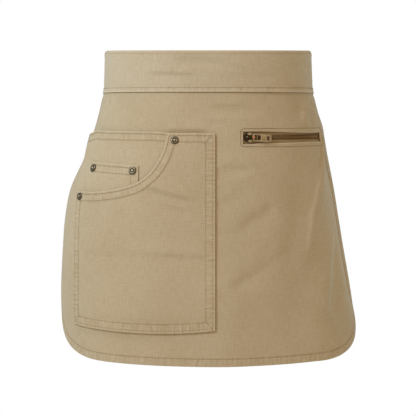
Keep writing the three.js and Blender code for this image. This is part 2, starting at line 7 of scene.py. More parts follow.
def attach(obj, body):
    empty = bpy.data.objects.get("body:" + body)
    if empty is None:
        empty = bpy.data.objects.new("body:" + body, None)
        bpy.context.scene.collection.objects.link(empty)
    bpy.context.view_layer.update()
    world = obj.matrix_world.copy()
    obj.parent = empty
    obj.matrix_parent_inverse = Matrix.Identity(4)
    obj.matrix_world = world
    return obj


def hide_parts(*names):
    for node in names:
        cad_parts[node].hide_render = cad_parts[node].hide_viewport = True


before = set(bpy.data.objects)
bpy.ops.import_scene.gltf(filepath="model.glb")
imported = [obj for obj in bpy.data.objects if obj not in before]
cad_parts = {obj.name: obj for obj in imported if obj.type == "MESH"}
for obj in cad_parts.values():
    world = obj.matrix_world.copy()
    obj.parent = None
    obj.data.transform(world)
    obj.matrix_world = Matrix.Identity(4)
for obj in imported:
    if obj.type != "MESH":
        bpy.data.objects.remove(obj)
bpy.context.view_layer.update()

scene = bpy.context.scene
mm = 0.001

# Sizes are in millimetres on the cloth: s runs along the cloth from the centre front, z is the height and
# h the distance outward from the worn form. place() turns them into metres in the frame of the solids.
wornForm = {
    "power": 2.2,
    # height, half-width left, half-width right, depth front, depth back
    "rows": [
        (32, 119.6, 119.6, 87, 84),
        (-18, 120.9, 121.6, 89, 86),
        (-30, 123.6, 124.4, 91, 88),
        (-48, 127.6, 128.8, 94, 91),
        (-70, 133.9, 135.1, 98, 95),
        (-103, 145.9, 141.5, 104, 101),
        (-137, 161.2, 148.1, 109, 106),
        (-172, 168.0, 153.8, 112, 110),
        (-206, 170.6, 159.4, 114, 112),
        (-250, 172.8, 167.1, 116, 114),
        (-290, 172.5, 173.7, 117, 115),
        (-342, 171.0, 183.0, 118, 116),
    ],
    "seam": -25.0, "ease": 14.0,  # the waistband's seam holds the cloth flat, and lets go over this length
    # ridges (height above zero) and hollows along straight lines: s0, z0, s1, z1, height, width, fade
    "folds": [
        (163, -92, 121, -196, 2.4, 13, 32),
        (170, -125, 166, -260, -2.0, 14, 35),
        (108, -130, 98, -270, -1.5, 21, 40),
        (28, -184, 66, -161, -1.0, 12, 14),
        (40, -236, 72, -211, -1.0, 12, 14),
    ],
    # broad hollows and swells that only the dressed cloth has, in the same columns
    "swells": [
        (116, -150, 112, -290, -2.2, 24.0, 40),
        (17, -262, 20, -345, 4.6, 36.0, 40),
    ],
    # drag lines and creases of the dressed cloth: steps down to the right of each run, in the same columns
    "tucks": [
        (40, -173.5, 66, -157, 1.3, 5.0, 9),
        (38, -237, 58, -225, 1.2, 4.6, 10),
        (74, -215, 88, -206, 0.7, 4.6, 10),
        (16, -253, 34, -240, 0.5, 4.0, 10),
        (12, -111.5, 28, -106, 0.8, 2.6, 5),
        (33, -109.5, 48, -108, 0.8, 2.6, 6),
        (45, -117, 27, -119.5, 0.8, 3.0, 6),
        (12, -150, 23, -143, 0.6, 3.0, 7),
        (14, -38, 33, -38.5, 1.0, 2.8, 9),
        (51, -50, 18, -49.5, 1.0, 3.2, 12),
        (0, -56, 14, -56.5, 0.6, 2.4, 7),
        (119.5, -34, 118, -50, 1.2, 3.0, 6),
        (131, -58, 130, -50, 1.8, 3.2, 4),
        (133, -44, 140, -33, 3.0, 3.4, 4),
        (157, -80, 149, -108, 1.5, 2.2, 9),
        (140, -131, 132, -152, 0.8, 1.9, 9),
        (126, -168, 121, -200, 0.7, 2.0, 9),
        (162, -228, 174, -190, 1.9, 5.0, 9),
        (151, -271, 158, -243, 2.1, 4.8, 9),
        (-152, -300, -75, -305, 1.1, 3.5, 14),
        (36, -312, 4, -300, 0.8, 6.0, 14),
        (-42, -67.6, -5, -68, 1.3, 2.2, 4),
    ],
    # along the right edge the hem stands off and leaves a hollow beside it: depth, way in, way out,
    # upper end, lower end, fade
    "hollow": (3.6, 13.0, 36.0, -60.0, -292.0, 42.0),
}


def ramp(value, length):  # smooth step from 0 to 1 over a length
    t = np.clip(value / length, 0.0, 1.0)
    return t * t * (3 - 2 * t)


formRows = np.array(wornForm["rows"], float)


def formMeasure(column, height):  # cubic through the rows, each slope from the two neighbours
    zs, v = formRows[:, 0], formRows[:, column]
    low = np.maximum(np.arange(len(zs)) - 1, 0)
    high = np.minimum(np.arange(len(zs)) + 1, len(zs) - 1)
    slope = (v[high] - v[low]) / (zs[high] - zs[low])
    z = np.clip(height, zs[-1], zs[0])
    i = np.clip(np.searchsorted(-zs, -z, side="right") - 1, 0, len(zs) - 2)
    step = zs[i + 1] - zs[i]
    t = (z - zs[i]) / step
    start = v[i] * (1 + 2 * t) * (1 - t) ** 2 + slope[i] * step * t * (1 - t) ** 2
    end = v[i + 1] * t * t * (3 - 2 * t) + slope[i + 1] * step * t * t * (t - 1)
    return start + end


# Table of the form: each height is a closed superellipse, resampled at every millimetre of its girth.
tableZ = np.arange(-346.0, 37.0, 1.0)
tableS = np.arange(-560.0, 561.0, 1.0)
turnSteps = 1440  # from the centre back round the front to the centre back
turn = np.linspace(-math.pi, math.pi, turnSteps + 1)
across = np.sign(np.sin(turn)) * np.abs(np.sin(turn)) ** (2 / wornForm["power"])
ahead = np.sign(np.cos(turn)) * np.abs(np.cos(turn)) ** (2 / wornForm["power"])
left, right, front, back = (formMeasure(c, tableZ)[:, None] for c in (1, 2, 3, 4))
ringX = across * np.where(across < 0, left, right)
ringY = -ahead * np.where(ahead > 0, front, back)
girth = np.cumsum(np.hypot(np.diff(ringX), np.diff(ringY)), axis=1)
girth = np.concatenate([np.zeros((len(tableZ), 1)), girth], axis=1)
girth -= girth[:, turnSteps // 2, None]
formX = np.empty((len(tableZ), len(tableS)))
formY = np.empty_like(formX)
for k in range(len(tableZ)):
    spot = (tableS - girth[k, 0]) % (girth[k, -1] - girth[k, 0]) + girth[k, 0]
    formX[k] = np.interp(spot, girth[k], ringX[k])
    formY[k] = np.interp(spot, girth[k], ringY[k])


def sideOf(z, side):  # girth from the centre front to the widest point of one side
    return np.interp(z, tableZ, girth[:, turnSteps // 2 + side * turnSteps // 4])


def formPoint(s, z):  # bilinear look-up in the table
    a = np.clip(z - tableZ[0], 0, len(tableZ) - 1.001)
    b = np.clip(s - tableS[0], 0, len(tableS) - 1.001)
    i, j = a.astype(int), b.astype(int)
    fa, fb = a - i, b - j

    def mix(table):
        upper = table[i, j] * (1 - fb) + table[i, j + 1] * fb
        lower = table[i + 1, j] * (1 - fb) + table[i + 1, j + 1] * fb
        return upper * (1 - fa) + lower * fa

    return np.stack([mix(formX), mix(formY), z], -1)


def unit(v):  # each vector divided by its length
    return v / np.maximum(np.linalg.norm(v, axis=-1, keepdims=True), 1e-12)


def bell(t):  # one in the middle, falling away evenly to both sides
    return np.exp(-(t**2))


def step(t):  # down from the left side to the right one, easing out to both
    return -np.tanh(t) * np.exp(-((t / 4) ** 2))


def ridges(s, z, rows, profile=bell):
    # sum of profiles, each carried along a straight line and fading past its ends
    total = np.zeros_like(s)
    for s0, z0, s1, z1, height, width, fade in rows:
        length = math.hypot(s1 - s0, z1 - z0)
        us, uz = (s1 - s0) / length, (z1 - z0) / length
        along = (s - s0) * us + (z - z0) * uz
        aside = (s - s0) * uz - (z - z0) * us
        beyond = np.maximum(0, np.maximum(-along, along - length))
        total += height * profile(aside / width) * np.exp(-((beyond / fade) ** 2))
    return total


def place(s, z, h):  # form point moved out along the form's normal by h and the folds
    s, z, h = np.broadcast_arrays(np.asarray(s, float), np.asarray(z, float), np.asarray(h, float))
    reach = 1.5
    along = formPoint(s + reach, z) - formPoint(s - reach, z)
    upward = formPoint(s, z + reach) - formPoint(s, z - reach)
    normal = unit(np.cross(along, upward))
    fold = ridges(s, z, wornForm["folds"] + wornForm["swells"]) + ridges(s, z, wornForm["tucks"], step)
    fold = fold * ramp(wornForm["seam"] - z, wornForm["ease"])
    depth, wayIn, wayOut, high, low, fade = wornForm["hollow"]
    fromEdge = sideOf(z, 1) - s
    hollow = ramp(fromEdge, wayIn) * (1 - ramp(fromEdge - wayIn, wayOut)) * (s > 0)
    fold = fold - depth * hollow * ramp(high - z, fade) * ramp(z - low, fade)
    return (formPoint(s, z) + normal * (h + fold)[..., None]) * mm


def edgeField(s, z, line):  # distance to a polyline on the cloth, and the run along it to the nearest point
    spots = np.stack([s.ravel(), z.ravel()], 1)
    start, step = line[:-1], np.diff(line, axis=0)
    length = np.maximum(np.hypot(step[:, 0], step[:, 1]), 1e-9)
    run = np.concatenate([[0.0], np.cumsum(length)[:-1]])
    near, along = np.empty(len(spots)), np.empty(len(spots))
    for part in np.array_split(np.arange(len(spots)), max(1, len(spots) * len(start) // 1500000)):
        gap = spots[part, None] - start
        t = np.clip((gap * step).sum(-1) / length**2, 0, 1)
        away = gap - t[..., None] * step
        reach = np.hypot(away[..., 0], away[..., 1])
        best = reach.argmin(1)
        pick = np.arange(len(part)), best
        near[part] = reach[pick]
        along[part] = run[best] + t[pick] * length[best]
    return near.reshape(s.shape), along.reshape(s.shape)


def marks(total, near, spacing):  # places along a length: close together at both ends, even between
    near = np.array(near, float)
    count = max(2, int(round((total - 2 * near[-1]) / spacing)))
    middle = np.linspace(near[-1], total - near[-1], count + 1)
    return np.concatenate([near[:-1], middle, (total - near[:-1])[::-1]])


def smoothLine(points, count):  # uniform Catmull-Rom curve through the points
    p = np.array(points, float)
    last = len(p) - 1
    t = np.linspace(0, last, count)
    i = np.minimum(t.astype(int), last - 1)
    f = (t - i)[:, None]
    p0, p1, p2, p3 = p[np.maximum(i - 1, 0)], p[i], p[i + 1], p[np.minimum(i + 2, last)]
    v0, v1 = (p2 - p0) / 2, (p3 - p1) / 2
    return (2 * p1 - 2 * p2 + v0 + v1) * f**3 + (3 * p2 - 3 * p1 - 2 * v0 - v1) * f**2 + v0 * f + p1


def makeMesh(name, verts, faces, material, uv=None, fields=None):
    # quads as one smooth mesh, all turned round where the volume that they enclose comes out negative
    faces = np.asarray(faces)
    corner = verts[faces]
    volume = np.einsum("ij,ij->i", corner[:, 0], np.cross(corner[:, 1], corner[:, 2])).sum()
    volume += np.einsum("ij,ij->i", corner[:, 0], np.cross(corner[:, 2], corner[:, 3])).sum()
    if volume < 0:
        faces = faces[:, ::-1]
    mesh = bpy.data.meshes.new(name)
    mesh.vertices.add(len(verts))
    mesh.vertices.foreach_set("co", verts.astype(np.float32).ravel())
    mesh.loops.add(faces.size)
    mesh.loops.foreach_set("vertex_index", faces.astype(np.int32).ravel())
    mesh.polygons.add(len(faces))
    mesh.polygons.foreach_set("loop_start", np.arange(0, faces.size, 4, dtype=np.int32))
    mesh.polygons.foreach_set("use_smooth", np.ones(len(faces), bool))
    if uv is not None:
        layer = mesh.uv_layers.new(name="cloth")
        layer.data.foreach_set("uv", uv[faces.ravel()].astype(np.float32).ravel())
    for key, values in (fields or {}).items():
        store = mesh.attributes.new(key, "FLOAT", "POINT")
        store.data.foreach_set("value", values.astype(np.float32).ravel())
    mesh.update(calc_edges=True)
    mesh.validate()
    mesh.materials.append(material)
    piece = bpy.data.objects.new(name, mesh)
    scene.collection.objects.link(piece)
    return piece


def clothPiece(name, outer, inner, flat, material, fields=None, keep=None, roll=5, ringed=False):
    # Two faces of a cloth on one grid, joined along every border by a half-round rolled edge: each rim
    # point is the mid-point plus the half-thickness turned by an angle towards the outside.
    rows, cols = outer.shape[:2]
    index = np.arange(rows * cols).reshape(rows, cols)
    upper = index if ringed else index[:-1]
    lower = np.roll(index, -1, 0) if ringed else index[1:]
    quads = np.stack([upper[:, :-1], lower[:, :-1], lower[:, 1:], upper[:, 1:]], -1)
    quads = quads.reshape(-1, 4) if keep is None else quads[keep]
    total = rows * cols
    start, end = quads.ravel(), np.roll(quads, -1, 1).ravel()
    border = ~np.isin(start * total + end, end * total + start)
    a, b = start[border], end[border]
    p, q = outer.reshape(-1, 3), inner.reshape(-1, 3)
    middle, half = (p + q) / 2, (p - q) / 2
    reach = np.linalg.norm(half, axis=1, keepdims=True)
    edge = unit(middle[b] - middle[a])
    outward = np.zeros_like(p)
    np.add.at(outward, a, np.cross(edge, unit(half[a])))
    np.add.at(outward, b, np.cross(edge, unit(half[b])))
    rim = np.unique(a)
    order = np.zeros(total, int)
    order[rim] = np.arange(len(rim))
    outward = unit(outward[rim]) * reach[rim]
    angle = np.arange(1, roll)[:, None, None] * math.pi / roll
    rings = middle[rim] + half[rim] * np.cos(angle) + outward * np.sin(angle)
    verts = np.concatenate([p, q, rings.reshape(-1, 3)])

    def ringAt(k, v):
        if k == 0:
            return v
        return total + v if k == roll else 2 * total + (k - 1) * len(rim) + order[v]

    strips = []
    for k in range(roll):
        strips.append(np.stack([ringAt(k, a), ringAt(k + 1, a), ringAt(k + 1, b), ringAt(k, b)], -1))
    faces = np.concatenate([quads, quads[:, ::-1] + total] + strips)

    def spread(values):
        values = values.reshape((total,) + values.shape[2:])
        return np.concatenate([values, values] + [values[rim]] * (roll - 1))

    uv = spread(flat) * mm
    fields = {key: spread(values) for key, values in (fields or {}).items()}
    used = np.unique(faces)
    new = np.zeros(len(verts), int)
    new[used] = np.arange(len(used))
    fields = {key: values[used] for key, values in fields.items()}
    return makeMesh(name, verts[used], new[faces], material, uv[used], fields)


def cover(piece, node, body="apron"):  # body, and the solid that it stands for, hidden
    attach(piece, body)
    if node:
        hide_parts(node)


def seamFields(edgeGap, rowA, rowB, along):
    # what the twill reads: millimetres from the edge, from each of two stitch rows, and along the edge
    return {"edgeGap": edgeGap, "rowA": rowA, "rowB": rowB, "along": along}


def sewnCloth(name, node, s, z, outer, inner, material, fields=None, keep=None):
    # a cloth on the worn form: outer and inner are the heights of its two faces over the grid
    flat = np.stack([s, z], -1)
    piece = clothPiece(name, place(s, z, outer), place(s, z, inner), flat, material, fields, keep)
    cover(piece, node)
    return piece


def closedTube(rings, sides):  # quads between rings of points, and strips across both ends
    ring = np.arange(rings - 1)[:, None] * sides
    k = np.arange(sides)[None, :]
    after = (k + 1) % sides
    tube = np.stack([ring + k, ring + after, ring + sides + after, ring + sides + k], -1).reshape(-1, 4)
    half = np.arange(sides // 2 - 1)
    lid = np.stack([half, half + 1, sides - 2 - half, sides - 1 - half], -1)
    return np.concatenate([tube, lid[:, ::-1], lid + (rings - 1) * sides])


def copies(faces, count, points):  # faces of one shape repeated, each copy so many points further on
    return (faces[None] + np.arange(count)[:, None, None] * points).reshape(-1, 4)


stitch = {"pitch": 3.1, "length": 2.4, "radius": 0.33, "rings": 5, "sides": 6, "rise": 0.16, "dip": 0.4}


def stitchRun(line, heightAt, side=1, where=place):
    # Short threads along a line: a tube whose middle lies on the cloth and whose ends dip into it.
    line = np.asarray(line, float)
    step = np.hypot(*np.diff(line, axis=0).T)
    run = np.concatenate([[0.0], np.cumsum(step)])
    count = max(1, int(run[-1] / stitch["pitch"]))
    centre = (np.arange(count) + 0.5) * run[-1] / count
    at = lambda r: np.stack([np.interp(r, run, line[:, 0]), np.interp(r, run, line[:, 1])], -1)
    spot = at(centre)
    way = unit(at(np.minimum(centre + 0.6, run[-1])) - at(np.maximum(centre - 0.6, 0)))
    f = np.linspace(-1, 1, stitch["rings"])[None, :, None]
    turnAt = np.linspace(0, 2 * math.pi, stitch["sides"], endpoint=False)[None, None, :]
    thick = stitch["radius"] * np.sqrt(np.maximum(0.2, 1 - 0.7 * f**4))
    s = spot[:, 0, None, None] + f * stitch["length"] / 2 * way[:, 0, None, None]
    z = spot[:, 1, None, None] + f * stitch["length"] / 2 * way[:, 1, None, None]
    rise = stitch["rise"] - stitch["dip"] * f**2 + thick * np.sin(turnAt)
    h = heightAt(s[..., 0], z[..., 0])[..., None] + side * rise
    s = s - thick * np.cos(turnAt) * way[:, 1, None, None]
    z = z + thick * np.cos(turnAt) * way[:, 0, None, None]
    verts = where(*np.broadcast_arrays(s, z, h)).reshape(-1, 3)
    one = closedTube(stitch["rings"], stitch["sides"])
    return verts, copies(one, count, stitch["rings"] * stitch["sides"])[:, ::side]


def threadPiece(name, runs, material):  # all the stitches of a cloth as one piece
    verts = np.concatenate([v for v, _ in runs])
    offset = np.cumsum([0] + [len(v) for v, _ in runs[:-1]])
    faces = np.concatenate([f + o for (_, f), o in zip(runs, offset)])
    piece = makeMesh(name, verts, faces, material)
    cover(piece, None)
    return piece


# Materials
waveAtOne = math.pi / 10  # metres from band to band of a wave texture at scale 1


def linear(hexColour):  # sRGB hex to linear colour with full alpha
    parts = [int(hexColour[i:i + 2], 16) / 255 for i in (1, 3, 5)]
    return tuple(c / 12.92 if c <= 0.04045 else ((c + 0.055) / 1.055) ** 2.4 for c in parts) + (1.0,)


def addNode(tree, kind, links=None, **settings):  # links: a value for each input, or what feeds it
    node = tree.nodes.new(kind)
    for key, value in settings.items():
        setattr(node, key, value)
    for key, value in (links or {}).items():
        if isinstance(key, int):
            socket = node.inputs[key]
        else:
            socket = next(i for i in node.inputs if i.enabled and i.name == key)
        if isinstance(value, bpy.types.Node):
            value = next(o for o in value.outputs if o.enabled)
        if isinstance(value, bpy.types.NodeSocket):
            tree.links.new(value, socket)
        else:
            socket.default_value = value
    return node


def newMaterial(name):  # with an empty node tree
    material = bpy.data.materials.new(name)
    material.use_nodes = True
    material.node_tree.nodes.clear()
    return material, material.node_tree


def finishMaterial(tree, links):  # shader and output
    shader = addNode(tree, "ShaderNodeBsdfPrincipled", links)
    addNode(tree, "ShaderNodeOutputMaterial", {"Surface": shader})


# Cotton twill, woven and garment-washed: matt, with slanting ribs, uneven threads that show as short
# streaks, seams that sink along the thread with painted shade darkening their grooves, and edges that are
# rubbed paler.
def cottonTwill(name, look):
    material, tree = newMaterial(name)
    uv = addNode(tree, "ShaderNodeUVMap", uv_map="cloth")
    edgeGap, rowA, rowB, along = (
        addNode(tree, "ShaderNodeAttribute", attribute_name=key).outputs["Fac"]
        for key in ("edgeGap", "rowA", "rowB", "along")
    )
    # slubs: noise stretched along the weft and along the warp
    slub, fine = 1 / (look["slubLong"] * mm), 1 / (look["thread"] * mm)
    threads = []
    for stretch in ((slub, fine, 1), (fine, slub * 0.7, 1)):
        space = addNode(tree, "ShaderNodeMapping", {"Vector": uv, "Scale": stretch})
        links = {"Vector": space, "Scale": 1.0, "Detail": 2.0, "Roughness": 0.6}
        threads.append(addNode(tree, "ShaderNodeTexNoise", links))
    yarn = addNode(tree, "ShaderNodeMath", {0: threads[0], 1: threads[1]}, operation="ADD")
    # the real ribs are 0.5 mm apart; drawn wider so that they show
    space = addNode(tree, "ShaderNodeMapping", {"Vector": uv, "Rotation": (0, 0, math.radians(58))})
    links = {"Vector": space, "Scale": waveAtOne / (look["rib"] * mm), "Distortion": 0.8, "Detail": 1.0}
    rib = addNode(tree, "ShaderNodeTexWave", links, wave_type="BANDS", bands_direction="X").outputs["Fac"]
    # washed clouds, read in space so that they run on from piece to piece
    space = addNode(tree, "ShaderNodeTexCoord").outputs["Object"]
    links = {"Vector": space, "Scale": 1 / (look["cloud"] * mm), "Detail": 3.0}
    cloud = addNode(tree, "ShaderNodeTexNoise", links)
    # gathers between a seam and its edge: noise along the edge, kept to the doubled cloth; it makes the
    # bumps, and in the colour it is painted shade of those puckers
    space = addNode(tree, "ShaderNodeCombineXYZ", {0: along, 1: edgeGap})
    space = addNode(tree, "ShaderNodeMapping", {"Vector": space, "Scale": (1 / 3.6, 1 / 14.0, 1)})
    gather = addNode(tree, "ShaderNodeTexNoise", {"Vector": space, "Scale": 1.0, "Detail": 1.0})
    gather = addNode(tree, "ShaderNodeMath", {0: gather, 1: 0.5}, operation="SUBTRACT")
    links = {"Value": rowB, "From Min": -1.0, "From Max": 2.5, "To Min": 1.0, "To Max": 0.0}
    doubled = addNode(tree, "ShaderNodeMapRange", links, interpolation_type="SMOOTHSTEP")
    gather = addNode(tree, "ShaderNodeMath", {0: gather, 1: doubled}, operation="MULTIPLY")
    # grooves along the two stitch rows, in millimetres from each row: sunk in the bump, and darkened with
    # painted shade in the colour
    grooves = []
    for row, deep in ((rowA, 1.0), (rowB, 0.7)):
        near = addNode(tree, "ShaderNodeMath", {0: row}, operation="ABSOLUTE")
        links = {"Value": near, "From Min": 0.1, "From Max": look["groove"], "To Min": deep, "To Max": 0.0}
        grooves.append(addNode(tree, "ShaderNodeMapRange", links, interpolation_type="SMOOTHSTEP"))
    sunk = addNode(tree, "ShaderNodeMath", {0: grooves[0], 1: grooves[1]}, operation="MAXIMUM")

    links = {"Value": yarn, "From Min": 0.6, "From Max": 1.4, "To Min": -look["slub"], "To Max": look["slub"]}
    tone = addNode(tree, "ShaderNodeMapRange", links)
    ribTone = 0.12
    # tone of the cloth: slubs, ribs and washed clouds, and the gathers as painted shade
    for part, much in ((rib, ribTone), (cloud, look["cloudTone"]), (gather, look["gather"])):
        tone = addNode(tree, "ShaderNodeMath", {0: part, 1: much, 2: tone}, operation="MULTIPLY_ADD")
    middle = (ribTone + look["cloudTone"]) / 2
    links = {"Value": tone, "From Min": middle - 1.0, "From Max": middle + 1.0}
    share = addNode(tree, "ShaderNodeMapRange", links)
    links = {"Factor": share, "A": linear(look["deep"]), "B": linear(look["pale"])}
    colour = addNode(tree, "ShaderNodeMix", links, data_type="RGBA")
    links = {"Value": edgeGap, "From Min": 0.0, "From Max": 1.6, "To Min": look["rub"], "To Max": 0.0}
    rubbed = addNode(tree, "ShaderNodeMapRange", links, interpolation_type="SMOOTHSTEP")
    links = {"Factor": rubbed, "A": colour, "B": linear(look["rubbed"])}
    colour = addNode(tree, "ShaderNodeMix", links, data_type="RGBA")
    # painted shade: the colour darkens towards the seam colour along the stitch grooves
    dark = addNode(tree, "ShaderNodeMath", {0: sunk, 1: look["seamShade"]}, operation="MULTIPLY")
    links = {"Factor": dark, "A": colour, "B": linear(look["seam"])}
    colour = addNode(tree, "ShaderNodeMix", links, data_type="RGBA")

    height = addNode(tree, "ShaderNodeMath", {0: yarn, 1: 0.15}, operation="MULTIPLY")
    for part, much in ((rib, 0.06), (gather, 1.2), (sunk, -0.3)):
        height = addNode(tree, "ShaderNodeMath", {0: part, 1: much, 2: height}, operation="MULTIPLY_ADD")
    bump = addNode(tree, "ShaderNodeBump", {"Height": height, "Strength": 1.0, "Distance": mm})
    finishMaterial(tree, {
        "Base Color": colour,
        "Roughness": 0.9,
        "Specular IOR Level": 0.25,
        "Sheen Weight": 0.15,
        "Sheen Roughness": 0.45,
        "Normal": bump,
    })
    return material


# Polyester topstitch thread, twisted, of the cloth's own tone: made a little darker and browner than the
# cloth as painted shade, with a soft shine.
def topstitchThread(name, look):
    material, tree = newMaterial(name)
    space = addNode(tree, "ShaderNodeTexCoord").outputs["Object"]
    links = {"Vector": space, "Scale": 1 / (look["twist"] * mm), "Detail": 2.0}
    twist = addNode(tree, "ShaderNodeTexNoise", links)
    links = {"Factor": twist, "A": linear(look["deep"]), "B": linear(look["pale"])}
    colour = addNode(tree, "ShaderNodeMix", links, data_type="RGBA")
    bump = addNode(tree, "ShaderNodeBump", {"Height": twist, "Strength": 0.6, "Distance": 0.15 * mm})
    finishMaterial(tree, {"Base Color": colour, "Roughness": 0.7, "Specular IOR Level": 0.3, "Normal": bump})
    return material


# Woven zip tape: polyester in a herringbone, closer and smoother than the twill.
def wovenTape(name, look):
    material, tree = newMaterial(name)
    uv = addNode(tree, "ShaderNodeUVMap", uv_map="cloth")
    links = {"Vector": uv, "Scale": waveAtOne / (look["rib"] * mm)}
    wave = addNode(tree, "ShaderNodeTexWave", links, wave_type="BANDS", bands_direction="DIAGONAL")
    noise = addNode(tree, "ShaderNodeTexNoise", {"Vector": uv, "Scale": 1 / (2.0 * mm), "Detail": 3.0})
    weave = addNode(tree, "ShaderNodeMath", {0: wave.outputs["Fac"], 1: noise}, operation="MULTIPLY")
    links = {"Factor": weave, "A": linear(look["deep"]), "B": linear(look["pale"])}
    colour = addNode(tree, "ShaderNodeMix", links, data_type="RGBA")
    bump = addNode(tree, "ShaderNodeBump", {"Height": weave, "Strength": 0.8, "Distance": 0.2 * mm})
    finishMaterial(tree, {"Base Color": colour, "Roughness": 0.8, "Specular IOR Level": 0.3, "Normal": bump})
    return material


# Antique brass, plated dark and tumbled: brown-black in the hollows, rubbed to grey-gold on what stands out,
# and to the copper underneath where metal runs on metal; on the slider the bright and the reddish marks are
# partly painted highlight, and its dark crown is a painted dark reflection.
def antiqueBrass(name, look):
    material, tree = newMaterial(name)
    space = addNode(tree, "ShaderNodeTexCoord").outputs["Object"]
    wear = addNode(tree, "ShaderNodeAttribute", attribute_name="wear").outputs["Fac"]
    copperAndGlint = addNode(tree, "ShaderNodeAttribute", attribute_name="copperAndGlint").outputs["Fac"]
    links = {"Vector": space, "Scale": 1 / (look["patina"] * mm), "Detail": 4.0, "Roughness": 0.6}
    patina = addNode(tree, "ShaderNodeTexNoise", links)
    bright = addNode(tree, "ShaderNodeMath", {0: wear, 1: patina}, operation="MULTIPLY")
    links = {"Value": bright, "From Min": 0.02, "From Max": 0.6}
    bright = addNode(tree, "ShaderNodeMapRange", links)
    links = {"Factor": bright, "A": linear(look["dark"]), "B": linear(look["worn"])}
    colour = addNode(tree, "ShaderNodeMix", links, data_type="RGBA")
    links = {"Factor": copperAndGlint, "A": colour, "B": linear(look["copperAndGlint"])}
    colour = addNode(tree, "ShaderNodeMix", links, data_type="RGBA")
    smooth, dull = look["rough"]
    links = {"Value": patina, "From Min": 0.3, "From Max": 0.7, "To Min": smooth, "To Max": dull}
    rough = addNode(tree, "ShaderNodeMapRange", links)
    bump = addNode(tree, "ShaderNodeBump", {"Height": patina, "Strength": 0.3, "Distance": 0.1 * mm})
    finishMaterial(tree, {"Base Color": colour, "Metallic": 0.9, "Roughness": rough, "Normal": bump})
    return material


# seam and seamShade: colour and strength of the painted shade in the stitch grooves
woven = {
    "rub": 0.5, "seam": "#86694a", "seamShade": 0.2, "groove": 1.0, "thread": 1.1, "slubLong": 9.0,
    "slub": 0.66, "rib": 1.5, "cloud": 55.0, "cloudTone": 0.9, "gather": 1.8,
}
twill = cottonTwill("khaki_cotton_twill_woven", {
    **woven, "deep": "#ae9872", "pale": "#cab796", "rubbed": "#d6c4a2",
})
# the waistband's twill: the same cloth made paler, painted light for the band catching more of the light
litBandTwill = cottonTwill("khaki_cotton_twill_woven_painted_paler", {
    **woven, "deep": "#b49f7b", "pale": "#d0bfa1", "rubbed": "#d9c8a8",
})
pocketing = cottonTwill("plain_cotton_pocketing", {
    **woven, "deep": "#ab9879", "pale": "#c6b698", "rubbed": "#d3c4a6", "rub": 0.4, "seam": "#8a7150",
    "thread": 0.8, "slubLong": 5.0, "slub": 0.4, "rib": 1.0, "cloud": 40.0, "gather": 1.0,
})
# topstitch thread, darker than the cloth: painted shade
thread = topstitchThread("polyester_topstitch_thread_painted_shade", {
    "deep": "#9c7e54", "pale": "#b79b71", "twist": 0.5,
})
# dark brown thread round the zip frame: painted shade of the needle holes
shadedZipThread = topstitchThread("polyester_zip_thread_painted_needle_shade", {
    "deep": "#6b5132", "pale": "#8b6d47", "twist": 0.5,
})
tapeWeave = wovenTape("polyester_zip_tape_woven", {"deep": "#98805a", "pale": "#b79d74", "rib": 1.2})
darkBrass = antiqueBrass("antique_brass_tumbled", {
    "dark": "#43361f", "worn": "#c8b896", "copperAndGlint": "#d99a70", "patina": 2.2, "rough": (0.3, 0.5),
})
toothBrass = antiqueBrass("antique_brass_zip_teeth", {
    "dark": "#6b5335", "worn": "#9a784c", "copperAndGlint": "#a56c44", "patina": 1.6, "rough": (0.4, 0.6),
})
print("materials made")

farOff = 99.0  # stands for no stitch row
edgeSteps = [0, 0.9, 2.0, 3.4, 5.2, 7.4, 9.2, 11.0, 13.0, 15.2]  # grid lines in from a sewn edge


# Patch pocket: how far its layers stand off the skirt, as on the solids.
pocket = {
    "left": -170.0, "right": 8.0, "top": -69.2, "frontTop": -70.9, "low": -299.3, "lowAt": -60.0,
    "cloth": 1.0, "gap": 0.3, "inset": 0.6, "rows": (2.9, 10.4), "mouthRows": (2.9, 10.2),
    "sideTop": -140.0, "mouthFrom": (-166.0, -49.0),  # where the front's side and the backing's rows end
    # the lower edge rises to the left and to the right: high, way
    "lowRise": ((6.8, 109.0), (4.2, 70.0)),
    # the upper edge falls to the left: by, from s, over; and to the top of the front: from s, over
    "topFall": (4.4, -140.0, 30.0), "topJoin": (-62.0, 24.0),
    # the front swells, and the swell comes up from the left, right, lower and upper edges
    "bulge": 2.2, "bulgeIn": (22.0, 70.0, 22.0, 40.0),
    # the rivet at the side holds every layer down: s, z, reach
    "pinch": (-161.5, -145.3, 14.0),
    # the mouth stands open: from this height, over, in from the right edge, high
    "opened": (-165.0, 65.0, 25.0, 1.6),
    # and its upper left corner further: from s, over, from this height, over, high
    "corner": (-110.0, 55.0, -122.0, 40.0, 1.8),
    # the right and lower edges are ironed flat: by, from the edge, over
    "press": (0.55, 2.0, 18.0),
    # share of that for the two faces of the backing, which is thinned by it
    "backPress": (0.8, 0.2),
    # doubled cloth at the edges: width, high; on the backing from this height up, over
    "seam": (9.8, 0.55), "backSeam": (10.5, 0.22), "backSeamFrom": (-120.0, 20.0),
    # puckers of the front's seams: share of the height, length
    "pucker": (0.6, 5.0),
    "scoop": [
        (-170, -139.8), (-157.3, -139.6), (-133.1, -139.4), (-107.2, -135.9), (-88.3, -131.1),
        (-77.3, -126.0), (-65.7, -117.0), (-56.8, -104.8), (-50.7, -92.4), (-47.2, -79.6), (-44.9, -70.9),
    ],
    # wrinkles of the front alone, as the tucks of the form
    "tucks": [
        (-79, -208, -38, -210, 0.5, 3.2, 12),
        (-45, -209, -10, -212, 0.9, 3.0, 9),
        (-140, -208, -111, -210, 0.5, 3.0, 9),
        (-62, -135, -30, -144, 2.2, 2.6, 9),
        (-46, -153, -28, -158, 1.1, 2.6, 7),
    ],
}
backIn = pocket["cloth"] + pocket["gap"]  # inner and outer face of each layer, on a skirt one cloth thick
backOut = backIn + pocket["cloth"]
frontIn = backOut + pocket["gap"]
